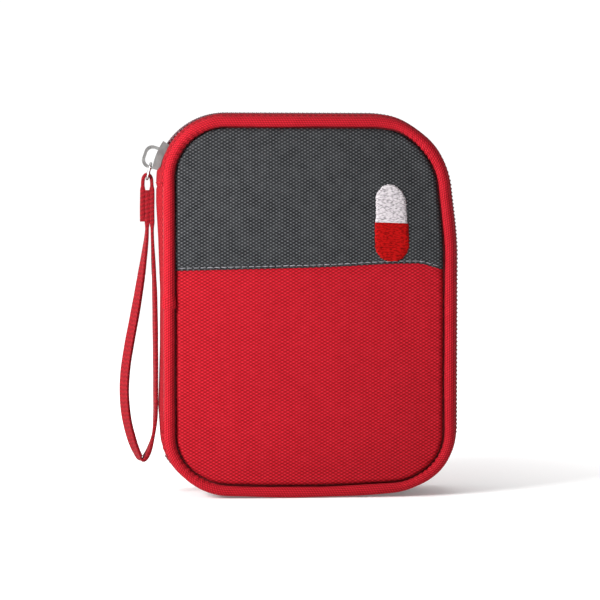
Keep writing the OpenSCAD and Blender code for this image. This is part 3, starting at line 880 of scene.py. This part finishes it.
def lofted(name, rows, material, body, nodes=(), closed=False, tube=True):
    """A surface through rows of points, riding on a body and standing for its nodes."""
    rows = np.array(rows)
    along = np.concatenate([[0], np.cumsum(np.linalg.norm(np.diff(rows[:, 0], axis=0), axis=1))])
    across = np.concatenate([[0], np.cumsum(np.linalg.norm(np.diff(rows[0], axis=0), axis=1))])
    piece = grid(name, rows, material, along, across, closed=closed, tube=tube, caps=not closed)
    if body:
        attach(piece, body)
    if nodes:
        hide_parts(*nodes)
    return piece


def stretch(ring, s0, s1, step=0.8 * MM):
    """Points and normals of the ring from s0 to s1."""
    count = max(int((s1 - s0) / step), 2)
    pairs = [ring.at(s) for s in np.linspace(s0, s1, count)]
    return np.array([p for p, n in pairs]), np.array([n for p, n in pairs])


def band(points, normals, section, side):
    """Rows of a band along a stretch. section holds offset outwards, share of the swell and depth."""
    rise = swell(normals)
    rows = []
    for p, n, b in zip(points, normals, rise):
        flat = 1 - max(-n[1], 0)
        rows.append([(*(p + n * (min(o, o * flat) + share * b)), side * y) for o, share, y in section])
    rows = np.array(rows)
    return rows[:, :, [0, 2, 1]]


WALL_SECTION = [
    (-2.4 * MM, 0, 14.4 * MM), (-1.2 * MM, 0, 13.9 * MM), (0.1 * MM, 0.1, 12.9 * MM),
    (0.6 * MM, 0.1, 11.6 * MM),
    (0.75 * MM, 0.12, 10.2 * MM), (0.7 * MM, 0.14, 8.8 * MM), (0.55 * MM, 0.15, 7.9 * MM),
    (0.2 * MM, 0.15, 7.5 * MM),
    (-0.3 * MM, 0.15, 7.55 * MM), (-0.9 * MM, 0.1, 8.4 * MM), (-1.4 * MM, 0, 10.5 * MM),
    (-2.0 * MM, 0, 12.8 * MM),
]
TAPE_SECTION = [
    (-1.7 * MM, 1, 1.15 * MM), (-0.95 * MM, 1, 1.0 * MM), (-0.8 * MM, 1, 1.7 * MM),
    (-1.2 * MM, 0.93, 3.4 * MM),
    (-0.9 * MM, 0.64, 5.2 * MM), (-0.55 * MM, 0.4, 6.8 * MM), (-0.3 * MM, 0.25, 7.9 * MM),
    (-0.6 * MM, 0.2, 8.3 * MM),
    (-1.0 * MM, 0.25, 7.8 * MM), (-1.5 * MM, 0.6, 5.2 * MM), (-1.9 * MM, 0.9, 3.2 * MM),
]
END_TAPE = TAPE_SECTION[:4] + [
    (-1.15 * MM, 0.8, 4.6 * MM), (-1.75 * MM, 0.8, 4.6 * MM), (-1.9 * MM, 0.9, 3.2 * MM),
]


def coil(name, side, body, nodes, s0, s1, material, both=False):
    """A zipper coil: bent wires side by side with flattened heads, one side half a pitch ahead."""
    pitch = 1.55 * MM
    wire = 0.56 * MM
    reach, hook = 3.05 * MM, -0.5 * MM
    sides = 8
    parts = []
    for which in ((-1, 1) if both else (side,)):
        first = s0 + (pitch / 2 if which > 0 else 0)
        for s in np.arange(first, s1, pitch):
            p, n = COVER.at(s)
            t = np.array([n[1], -n[0]]) * -1
            b = float(swell(n[None, :])[0])
            points = []
            stops = np.linspace(0, 1, 8)
            for j, u in enumerate(stops):
                y = hook + (reach - hook) * u
                lean = 0.28 * MM * (u - 0.5) * which
                drop = 0.55 * MM * max(u - 0.62, 0) ** 2 / 0.144
                centre = p + n * (b - wire - drop) + t * lean
                head = 1.0 + 0.35 * math.exp(-((u - 0.12) / 0.12) ** 2)
                r = wire * (0.55 if j in (0, len(stops) - 1) else 1.0)
                for k in range(sides):
                    a = 2 * math.pi * k / sides
                    q = centre + t * (r * head * 0.98 * math.cos(a)) + n * (r * math.sin(a))
                    points.append((q[0], which * y, q[1]))
            faces, _ = grid_faces(len(stops), sides, False, True)
            faces.append(list(range(sides)))
            faces.append([len(points) - 1 - k for k in range(sides)])
            parts.append((points, faces))
    piece = joined_meshes(name, parts, material)
    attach(piece, body)
    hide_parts(*nodes)
    return piece


def make_sides(material, tape_material, coil_material, thread):
    """Walls, tapes and coils of both halves, and the closed ends of the zipper on the spine."""
    open_from = COVER.corner_s(0, 38)
    open_to = COVER.corner_s(3, 52)
    wall_from, wall_to = COVER.corner_s(0, 0) - 1.5 * MM, COVER.corner_s(3, 90) + 0.5 * MM
    for side, half in ((-1, "front"), (1, "back")):
        body = half + "_shell"
        points, normals = stretch(COVER, wall_from, wall_to)
        lofted(half + "_side_cloth", band(points, normals, WALL_SECTION, side), material, body,
               [half + "_wall"])
        points, normals = stretch(COVER, open_from, open_to)
        lofted(half + "_zip_tape", band(points, normals, TAPE_SECTION, side), tape_material, body,
               [half + "_tape"])
        for name, s0, s1 in (("_tape_end_upper", COVER.corner_s(0, 3), open_from),
                             ("_tape_end_lower", open_to, COVER.corner_s(3, 87))):
            points, normals = stretch(COVER, s0, s1)
            outer = [(o, share, y) for o, share, y in TAPE_SECTION if y > 5.1 * MM]
            lofted(half + name, band(points, normals, outer, side), tape_material, body)
        coil(half + "_zip_coil", side, body, [half + "_coil"], open_from, open_to, coil_material)
        spots = []
        pitch = 2.6 * MM
        for s in np.arange(open_from + pitch, open_to - pitch, pitch):
            ends = []
            for t in (s + 0.3 * MM, s + pitch - 0.3 * MM):
                p, n = COVER.at(t)
                b = float(swell(n[None, :])[0])
                q = p + n * (-0.62 * MM + 0.43 * b)
                ends.append((q[0], side * 6.55 * MM, q[1]))
            spots.append((ends[0], ends[1], (n[0], 0, n[1])))
        stitches(half + "_tape_stitches", spots, body, thread, 0.3 * MM)
    for name, s0, s1 in (("upper", COVER.corner_s(0, 9), COVER.corner_s(0, 37)),
                         ("lower", COVER.corner_s(3, 53), COVER.corner_s(3, 66))):
        points, normals = stretch(COVER, s0, s1)
        rows = np.concatenate([band(points, normals, END_TAPE, 1), band(points, normals, END_TAPE[::-1], -1)],
                              axis=1)
        lofted("closed_end_tape_" + name, rows, tape_material, "spine", ["end_tape_" + name])
        coil("closed_end_coil_" + name, 1, "spine", ["end_coil_" + name], s0 + 1 * MM, s1, coil_material,
             both=True)


def gusset_puff(z):
    """How far the gusset's loose cloth stands out, by height."""
    heights = [16, 24, 33, 55, 75, 95, 108, 118]
    return np.interp(z / MM, heights, [0.1, 0.5, 1.0, 0.3, 0.2, 0.9, 1.6, 1.5]) * MM


def make_spine(material, lining, thread):
    """The gusset down the spine, with a cross seam at each end, and its lining."""
    start, end = COVER.corner_s(3, 64) - COVER.length, COVER.corner_s(0, 10)
    lip = FOLD_Y - 1.3 * MM
    stops = np.linspace(start, end, 200)
    stops = np.concatenate([[start, start + 0.1 * MM], stops[2:-2], [end - 0.1 * MM, end]])
    cross = (COVER.corner_s(3, 78) - COVER.length, COVER.s[COVER.start[1]] - 2.5 * MM)
    rows = []
    for s in stops:
        p, n = COVER.at(s)
        puff = gusset_puff(p[1])
        last = 0.5 * MM * (1 - eased(min(s - start, end - s), 0, 0.8 * MM))
        dip = sum(0.3 * MM * math.exp(-((s - c) / (0.55 * MM)) ** 2) for c in cross)
        wave = 0.12 * MM * ripple(np.array(0.0), np.array(s), 4, 26 * MM)
        row = []
        for y in np.linspace(-lip, lip, 21):
            curve = 1 - abs(y / lip) ** 4
            out = -0.1 * MM + curve * (0.9 * MM + puff + wave) - last - dip
            row.append((p[0] + n[0] * out, y, p[1] + n[1] * out))
        for y in np.linspace(lip, -lip, 8):
            row.append((p[0] - n[0] * 0.4 * MM, y, p[1] - n[1] * 0.4 * MM))
        rows.append(row)
    lofted("spine_cloth", rows, material, "spine", ["spine_gusset"])
    low_c, high_c = corners("spine_lining")
    rows = [[(low_c[0] + 0.05 * MM, y, z) for y in np.linspace(low_c[1], high_c[1], 14)]
            + [(high_c[0] + (0.3 + 0.06 * math.sin(z * 300)) * MM, y, z)
               for y in np.linspace(high_c[1], low_c[1], 14)]
            for z in np.linspace(low_c[2], high_c[2], 60)]
    lofted("spine_lining_cloth", rows, lining, "spine", ["spine_lining"])
    spots = []
    for c, up in zip(cross, (-1, 1)):
        p, n = COVER.at(c + up * 1.4 * MM)
        puff = gusset_puff(p[1])
        for y in np.arange(-lip + 1.0 * MM, lip - 2.4 * MM, 2.4 * MM):
            ends = []
            for q in (y, y + 2.0 * MM):
                out = -0.12 * MM + (0.9 * MM + puff) * (1 - abs(q / lip) ** 4)
                ends.append((p[0] + n[0] * out, q, p[1] + n[1] * out))
            spots.append((ends[0], ends[1], (n[0], 0, n[1])))
    stitches("spine_stitches", spots, "spine", thread, 0.32 * MM)
    for name in ("upper", "lower"):
        a, b = corners("end_tab_" + name)
        rows = []
        for z in np.linspace(a[2], b[2], 8):
            rows.append([(a[0] + 0.1 * MM, y, z) for y in np.linspace(a[1], b[1], 8)]
                        + [(b[0], y, z) for y in np.linspace(b[1], a[1], 8)])
        lofted("zip_end_tab_" + name, rows, material, "spine", ["end_tab_" + name])


# ---- The strap ----

def strap_line():
    """Centre points, and directions along and across the strap, on a smooth curve through its route."""
    route = np.array(STRAP_ROUTE, float)
    last = len(route) - 1

    def at(s):
        i = int(min(max(s, 0), last - 1e-6))
        t = min(max(s, 0), last) - i
        a, b, c, d = (route[min(max(k, 0), last)] for k in (i - 1, i, i + 1, i + 2))
        return 0.5 * (2 * b + (c - a) * t + (2 * a - 5 * b + 4 * c - d) * t * t
                      + (3 * b - a - 3 * c + d) * t ** 3)

    places = np.array([at(s) for s in np.linspace(0, last, 520)])
    points = places[:, :3] * MM
    turns = np.radians(places[:, 3])
    along = np.gradient(points, axis=0)
    along /= np.linalg.norm(along, axis=1)[:, None]
    wide = np.column_stack([np.sin(turns), np.cos(turns), np.zeros(len(turns))])
    across = wide - (wide * along).sum(axis=1)[:, None] * along
    across /= np.linalg.norm(across, axis=1)[:, None]
    return points, along, across


def make_strap(material, thread):
    """Two layers of webbing sewn edge to edge, through the pull's lower bar and back to its own beginning."""
    points, along, across = strap_line()
    out = np.cross(along, across)
    w, t = STRAP_W / 2, STRAP_T / 2
    section = [(w - 0.25 * MM, t)]
    section += [(x * w, t * (1 + 0.06 * math.cos(x * 9))) for x in np.linspace(0.8, -0.8, 9)]
    section += [(-w + 0.25 * MM, t), (-w, t * 0.6), (-w + 0.3 * MM, 0), (-w, -t * 0.6), (-w + 0.25 * MM, -t)]
    section += [(x * w, -t * (1 + 0.06 * math.cos(x * 9))) for x in np.linspace(-0.8, 0.8, 9)]
    section += [(w - 0.25 * MM, -t), (w, -t * 0.6), (w - 0.3 * MM, 0), (w, t * 0.6)]
    s = np.concatenate([[0], np.cumsum(np.linalg.norm(np.diff(points, axis=0), axis=1))])
    rows = []
    for i, p in enumerate(points):
        sewn = eased(p[2], 98 * MM, 101 * MM) * (1 - eased(p[2], 112.5 * MM, 114.5 * MM)) * (p[0] > -0.0625)
        puff = 1 + 0.5 * float(sewn) + 0.03 * math.sin(s[i] * 520) + 0.05 * math.sin(s[i] * 110)
        rows.append([p + across[i] * a + out[i] * b * puff for a, b in section])
    around = np.concatenate([[0], np.cumsum([math.dist(a, b) for a, b in zip(section, section[1:])])])
    piece = grid("wrist_strap_webbing", rows, material, s, around, tube=True, caps=True)
    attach(piece, "strap")
    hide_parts("wrist_strap")
    print("strap length", round(float(s[-1]) * 1000, 1), "mm")
    spots = []
    for x, up in ((-61.55, -1), (-56.75, 1)):
        for z in (102.6, 107.6):
            for k in range(3):
                y = -1.9 + 1.3 * k
                spots.append(((x * MM, y * MM, z * MM), (x * MM, (y + 1.1) * MM, z * MM), (up, 0, 0)))
        for y in (-1.8, 1.8):
            for k in range(4):
                z = 102.7 + 1.25 * k
                spots.append(((x * MM, y * MM, z * MM), (x * MM, y * MM, (z + 1.05) * MM), (up, 0, 0)))
    stitches("strap_stitches", spots, "strap", thread, 0.3 * MM)


# ---- The embroidered capsule ----

def make_capsule(rise, white, red):
    """The embroidered capsule: threads laid across, each half in its own colour."""
    low, high = corners("capsule_lower")[0], corners("capsule_upper")[1]
    low, high = low + np.array([0.85, 0, 1.75]) * MM, high + np.array([0.85, 0, 1.75]) * MM
    centre, radius = (low + high) / 2, (high[0] - low[0]) / 2
    pick = np.random.default_rng(11)
    for name, z0, z1, material in (("upper", centre[2], high[2], white), ("lower", low[2], centre[2], red)):
        thread = 0.44 * MM
        count = int((z1 - z0) / thread)
        thread = (z1 - z0) / count
        rows = []
        for k in range(count):
            slip = pick.uniform(-0.16, 0.16, 2) * MM
            lift = pick.uniform(-0.05, 0.05) * MM
            middle = z0 + (k + 0.5) * thread
            past = max(abs(middle - centre[2]) - (high[2] - centre[2] - radius), 0)
            wider = (0.35 if name == "lower" else 0.05) * MM
            half = math.sqrt(max(radius ** 2 - past ** 2, (1.4 * MM) ** 2)) + wider
            for u in np.linspace(0.04, 0.96, 5):
                z = z0 + (k + u) * thread
                x = np.linspace(centre[0] - half + slip[0], centre[0] + half + slip[1], 26)
                base = cover_face(x, np.full(26, z), np.array([rise(a, z) for a in x]), 3)
                across = np.linspace(-1, 1, 26)
                dome = 0.75 * MM * np.sqrt(np.maximum(1 - across ** 4, 0)) - 0.25 * MM
                end = min(high[2] - z, z - low[2])
                dome = dome * min(1, math.sqrt(max(end, 0) / (1.4 * MM)) + 0.25)
                round_thread = 0.15 * MM * math.sin(math.pi * u) ** 0.7 + lift
                y = base + 0.42 * MM + dome + round_thread
                front = [(a, -b, z) for a, b in zip(x, y)]
                back = [(a, -b + 0.6 * MM, z) for a, b in zip(x[::-3], base[::-3])]
                rows.append(front + back)
        rows = np.array(rows)
        n, m = rows.shape[:2]
        piece = grid("capsule_embroidery_" + name, rows, material, np.zeros(n), np.zeros(m), tube=True,
                     caps=True)
        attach(piece, "front_shell")
        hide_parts("capsule_" + name)


# ---- Inside ----

def make_lining(side, material):
    """Smooth lining stretched over the board, a little slack between its edges."""
    half = "front" if side < 0 else "back"
    low, high = corners(half + "_lining")
    y0, y1 = sorted((abs(low[1]), abs(high[1])))
    flat = Ring(high[0] - low[0], low[2], high[2], CORNER_R - 2 * MM)
    rows = fan(np.array([0, COVER_H / 2]), flat.p, np.linspace(0, 1, 60))
    x, z = rows[:, :, 0], rows[:, :, 1]
    d = np.minimum(np.minimum(high[0] - np.abs(x), high[2] - z), z - low[2])
    slack = (0.25 * MM * ripple(x, z, 20 + side, 24 * MM) + 0.05 * MM) * eased(d, 0, 8 * MM)
    inner = np.stack([x, side * (y0 + 0.22 * MM + slack * 0.8), z], axis=2)
    outer = np.stack([x, np.full_like(x, side * y1), z], axis=2)[:, ::-1]
    rows = np.concatenate([inner, outer], axis=1)
    n, m = rows.shape[:2]
    piece = grid(half + "_lining_cloth", rows, material, np.zeros(n), np.zeros(m), closed=True)
    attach(piece, half + "_shell")
    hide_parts(half + "_lining")


def ribbon(name, path, z0, z1, thick, material, body, nodes):
    """A band that stands on edge and follows a path seen from above."""
    path = np.array(path, float)
    step = np.concatenate([[0], np.cumsum(np.linalg.norm(np.diff(path, axis=0), axis=1))])
    s = np.linspace(0, step[-1], max(int(step[-1] / (0.5 * MM)), 12))
    line = np.column_stack([np.interp(s, step, path[:, k]) for k in (0, 1)])
    for _ in range(3):
        line[1:-1] = (line[:-2] + 2 * line[1:-1] + line[2:]) / 4
    along = np.gradient(line, axis=0)
    along /= np.linalg.norm(along, axis=1)[:, None]
    normal = np.column_stack([along[:, 1], -along[:, 0]])
    t, h = thick / 2, z1 - z0
    zs = np.concatenate([[0, 0.02], np.linspace(0.06, 0.94, 12), [0.98, 1]])
    section = [(t * min(1, 0.3 + 12 * min(u, 1 - u)), z0 + h * u) for u in zs]
    section += [(-a, b) for a, b in section[::-1]]
    rows = [[(p[0] + q[0] * a, p[1] + q[1] * a, z) for a, z in section] for p, q in zip(line, normal)]
    return lofted(name, rows, material, body, nodes)


def make_pocket(net, binding, thread):
    """The net, its elastic binding and the stitches along its mouth."""
    low, high = corners("mesh_pocket")
    r = 8 * MM
    rows = []
    for z in np.linspace(low[2], high[2] + 0.5 * MM, 70):
        foot = max(r - (z - low[2]), 0)
        half = high[0] - r + math.sqrt(max(r * r - foot * foot, 0))
        x = np.linspace(-1, 1, 110) * half
        side = np.minimum(half - np.abs(x), z - low[2])
        t = np.clip(side / (3.5 * MM), 0, 1)
        y = high[1] - (high[1] - low[1] - 0.3 * MM) * np.sqrt(1 - (1 - t) ** 2.4)
        y = y - 0.35 * MM * ripple(x, np.full(110, z), 31, 30 * MM) * t
        rows.append([(a, b, z) for a, b in zip(x, y)])
    rows = np.array(rows)
    piece = grid("pocket_net", rows, net, np.zeros(70), np.zeros(110))
    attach(piece, "back_shell")
    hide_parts("mesh_pocket")
    a, b = corners("pocket_binding")
    y0, y1 = a[1] + 0.6 * MM, b[1] - 0.1 * MM
    path = [(-b[0] + 0.6 * MM, y1), (-b[0] + 0.6 * MM, y0 + 3 * MM), (-b[0] + 1.5 * MM, y0 + 0.8 * MM),
            (-b[0] + 4 * MM, y0)]
    path += [(x, y0 + 0.25 * MM * math.sin(x * 90)) for x in np.linspace(-b[0] + 8 * MM, b[0] - 8 * MM, 40)]
    path += [(-p, q) for p, q in path[3::-1]]
    ribbon("pocket_mouth_binding", path, a[2], b[2], 1.1 * MM, binding, "back_shell", ["pocket_binding"])
    spots = []
    for x in np.arange(-b[0] + 8 * MM, b[0] - 9 * MM, 2.6 * MM):
        y = y0 + 0.25 * MM * math.sin(x * 90) - 0.58 * MM
        spots.append(((x, y, a[2] + 1.2 * MM), (x + 2.1 * MM, y, a[2] + 1.2 * MM), (0, -1, 0)))
    stitches("pocket_stitches", spots, "back_shell", thread, 0.3 * MM)


def make_elastics(material, thread):
    """The band over the bandage, and the row of four loops sewn down between them."""
    low, high = corners("bandage_elastic")
    w, y0, y1 = high[0], low[1] + 0.3 * MM, high[1] - 0.35 * MM
    foot = 4 * MM
    path = [(-w, y1), (-w + foot - 0.2 * MM, y1), (-w + foot + 0.25 * MM, y0 + 1.0 * MM),
            (-w + foot + 1.2 * MM, y0)]
    path += [(x, y0) for x in np.linspace(-w + foot + 3 * MM, w - foot - 3 * MM, 30)]
    path += [(-p, q) for p, q in path[3::-1]]
    ribbon("bandage_band", path, low[2], high[2], 0.62 * MM, material, "back_shell", ["bandage_elastic"])
    spots = []
    for x in (-w + foot / 2, w - foot / 2):
        for z in np.arange(low[2] + 1 * MM, high[2] - 2.4 * MM, 2.4 * MM):
            spots.append(((x, y1 - 0.33 * MM, z), (x, y1 - 0.33 * MM, z + 2.0 * MM), (0, -1, 0)))
    stitches("bandage_band_stitches", spots, "back_shell", thread, 0.32 * MM)
    low, high = corners("front_elastic")
    back, front = low[1] + 0.35 * MM, high[1] - 0.3 * MM
    path = [(low[0], back)]
    spots = []
    for x0, x1 in LOOPS:
        path += [(x0 - 0.15 * MM, back), (x0 + 0.3 * MM, back + 1.2 * MM), (x0 + 0.35 * MM, front - 1.2 * MM),
                 (x0 + 1.3 * MM, front)]
        path += [(x1 - 1.3 * MM, front), (x1 - 0.35 * MM, front - 1.2 * MM), (x1 - 0.3 * MM, back + 1.2 * MM),
                 (x1 + 0.15 * MM, back)]
    path += [(high[0], back)]
    for x in [LOOPS[0][0] - 2 * MM] + [b + 2 * MM for _, b in LOOPS]:
        for z in np.arange(low[2] + 1 * MM, high[2] - 2.4 * MM, 2.4 * MM):
            spots.append(((x, back + 0.33 * MM, z), (x, back + 0.33 * MM, z + 2.0 * MM), (0, 1, 0)))
    ribbon("front_loops", path, low[2], high[2], 0.62 * MM, material, "front_shell", ["front_elastic"])
    stitches("front_loop_stitches", spots, "front_shell", thread, 0.32 * MM)


LOOPS = [(-43 * MM, -30 * MM), (-26 * MM, -13 * MM), (-9 * MM, 17 * MM), (21 * MM, 44 * MM)]


def make_packet(name, node, body, material, seed, margin=3.0 * MM):
    """A sealed packet: full in the middle, crimped flat along its edges."""
    low, high = corners(node)
    centre, half = (low + high) / 2, (high - low) / 2
    flat = Ring(2 * half[0], low[2], high[2], 2 * MM, 60, 10, 40)
    rows = fan(np.array([0, centre[2]]), flat.p,
               np.concatenate([np.linspace(0, 0.8, 30, endpoint=False), np.linspace(0.8, 1, 26)]))
    x, z = rows[:, :, 0], rows[:, :, 1]
    d = np.minimum(half[0] - np.abs(x), half[2] - np.abs(z - centre[2]))
    swollen = 0.3 * MM + (half[1] - 0.45 * MM) * eased(d, margin * 0.7, margin * 3.2)
    crimp = 0.2 * MM * np.sin((x + z) * 2 * math.pi / (1.1 * MM)) * (1 - eased(d, margin * 0.5, margin))
    crease = 0.12 * MM * ripple(x, z, seed, 13 * MM) * eased(d, margin, margin * 3)
    thick = np.minimum(swollen + crease, half[1])
    front = np.stack([x + centre[0], centre[1] - thick + crimp, z], axis=2)
    back = np.stack([x + centre[0], centre[1] + thick + crimp, z], axis=2)[:, ::-1]
    rows = np.concatenate([front, back], axis=1)
    n, m = rows.shape[:2]
    piece = grid(name, rows, material, np.zeros(n), np.zeros(m), closed=True, tube=False)
    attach(piece, body)
    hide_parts(node)


def make_bandage(material):
    """Crepe bandage, wound flat, its turns showing at both ends."""
    low, high = corners("bandage")
    centre, half = (low + high) / 2, (high - low) / 2
    section = []
    r = half[1] * 0.94
    for k in range(56):
        a = 2 * math.pi * k / 56
        section.append((r * math.cos(a), (half[2] - r) * (1 if math.sin(a) > 0 else -1) + r * math.sin(a)))
    section = np.array(section)
    rows = []
    turns = 5
    for k in range(2 * turns, 0, -1):
        share = k / (2 * turns) * 0.98
        rows.append((-half[0] + (0.15 if k % 2 else 0.8) * MM, share))
    body = [(x, 1 + 0.012 * math.sin(x * 700))
            for x in np.linspace(-half[0] + 0.5 * MM, half[0] - 0.5 * MM, 90)]
    stops = rows[::-1] + body + [(-x, share) for x, share in rows]
    points = []
    for x, share in stops:
        y = section[:, 0] * share
        z = section[:, 1] * (1 - (1 - share) * half[1] / half[2])
        if share < 0.99:
            z = np.sign(section[:, 1]) * np.maximum(np.abs(section[:, 1]) - (1 - share) * half[1], 0)
        points.append(np.column_stack([np.full(56, centre[0] + x), centre[1] + y, centre[2] + z]))
    lofted("bandage_crepe", points, material, "back_shell", ["bandage"])


def give(node, material, bevel=0.0):
    """Puts a material, and a bevel where asked, on a CAD piece."""
    obj = bpy.data.objects[node]
    for slot in obj.material_slots:
        slot.material = material
    if bevel:
        edge = obj.modifiers.new("edge", "BEVEL")
        edge.width = bevel
        edge.segments = 3
        edge.limit_method = "ANGLE"
        edge.angle_limit = math.radians(40)


# ---- The whole kit ----

make_camera()
RED = (0.315, 0.0018, 0.0075)
THREAD_RED = (0.3, 0.004, 0.01)
strap_cloth = tape_cloth("strap", (0.2, 0.002, 0.0065), 0.8 * MM)
red_thread = satin("thread_red", THREAD_RED, (0.6, 0.05, 0.06))
dark_thread = nylon("thread_dark", (0.02, 0.02, 0.023), (0.05, 0.05, 0.055))
grey_thread = nylon("thread_grey", (0.16, 0.16, 0.17), (0.26, 0.26, 0.28))
make_strap(strap_cloth, red_thread)
make_studio()

grey = canvas("grey_canvas", (0.017, 0.018, 0.02), (0.003, 0.0031, 0.0036), (0.15, 0.155, 0.163))
red = canvas("red_canvas", RED, (0.13, 0.0008, 0.003), (0.58, 0.016, 0.036))
bias = canvas("piping", RED, (0.14, 0.001, 0.003), (0.56, 0.02, 0.042), 0.8 * MM, 0.5 * MM, math.radians(32),
              True, 0.12 * MM)
# The walls and gusset use a darker copy of the red canvas: painted shade on the sideways-facing sides.
side_canvas_shaded = canvas("side_canvas_shaded", tinted(RED, 0.78), (0.1, 0.001, 0.0025), (0.4, 0.014, 0.028), 1.04 * MM,
                     0.61 * MM, 0, True, 0.12 * MM)
zip_tape = tape_cloth("zipper_tape", (0.24, 0.002, 0.0065))
coil_nylon = nylon("coil", (0.045, 0.008, 0.014), (0.1, 0.012, 0.02))
inside = lining_cloth("lining", (0.21, 0.004, 0.009))
metal = nickel()

rise = make_covers(grey, red, grey_thread, foam())
make_piping("front_piping_cord", -1, "front_shell", "front_piping", bias)
make_piping("back_piping_cord", 1, "back_shell", "back_piping", bias)
make_sides(side_canvas_shaded, zip_tape, coil_nylon, red_thread)
make_spine(side_canvas_shaded, inside, red_thread)
make_capsule(rise, satin("thread_white", (0.34, 0.312, 0.33), (0.5, 0.465, 0.485)),
             satin("thread_deep_red", (0.21, 0.0005, 0.0005), (0.34, 0.003, 0.003)))

for side in (-1, 1):
    make_lining(side, inside)
elastic = elastic_cloth("elastic", (0.02, 0.02, 0.022))
make_pocket(mesh_cloth(), elastic_cloth("binding", (0.36, 0.01, 0.018)), red_thread)
make_elastics(elastic, dark_thread)
gauze_paper = coated_paper("packet", (0.5, 0.53, 0.52), (0.3, 0.38, 0.4))
make_packet("gauze_packet_left", "gauze_pack_left", "back_shell", gauze_paper, 41)
make_packet("gauze_packet_right", "gauze_pack_right", "back_shell", gauze_paper, 42)
make_packet("plaster_packet", "plaster_pack", "front_shell",
            coated_paper("plaster_paper", (0.52, 0.45, 0.35), (0.38, 0.3, 0.2)), 43, 2 * MM)
make_packet("wipe_packet", "wipe_pack", "front_shell",
            coated_paper("wipe_foil", (0.3, 0.42, 0.52), (0.16, 0.26, 0.36)), 44, 2 * MM)
make_bandage(crepe("bandage", (0.5, 0.43, 0.33)))
give("tweezers", brushed_steel(), 0.15 * MM)
for node in ("slider_body", "slider_bridge", "pull_ring"):
    give(node, metal, 0.12 * MM)
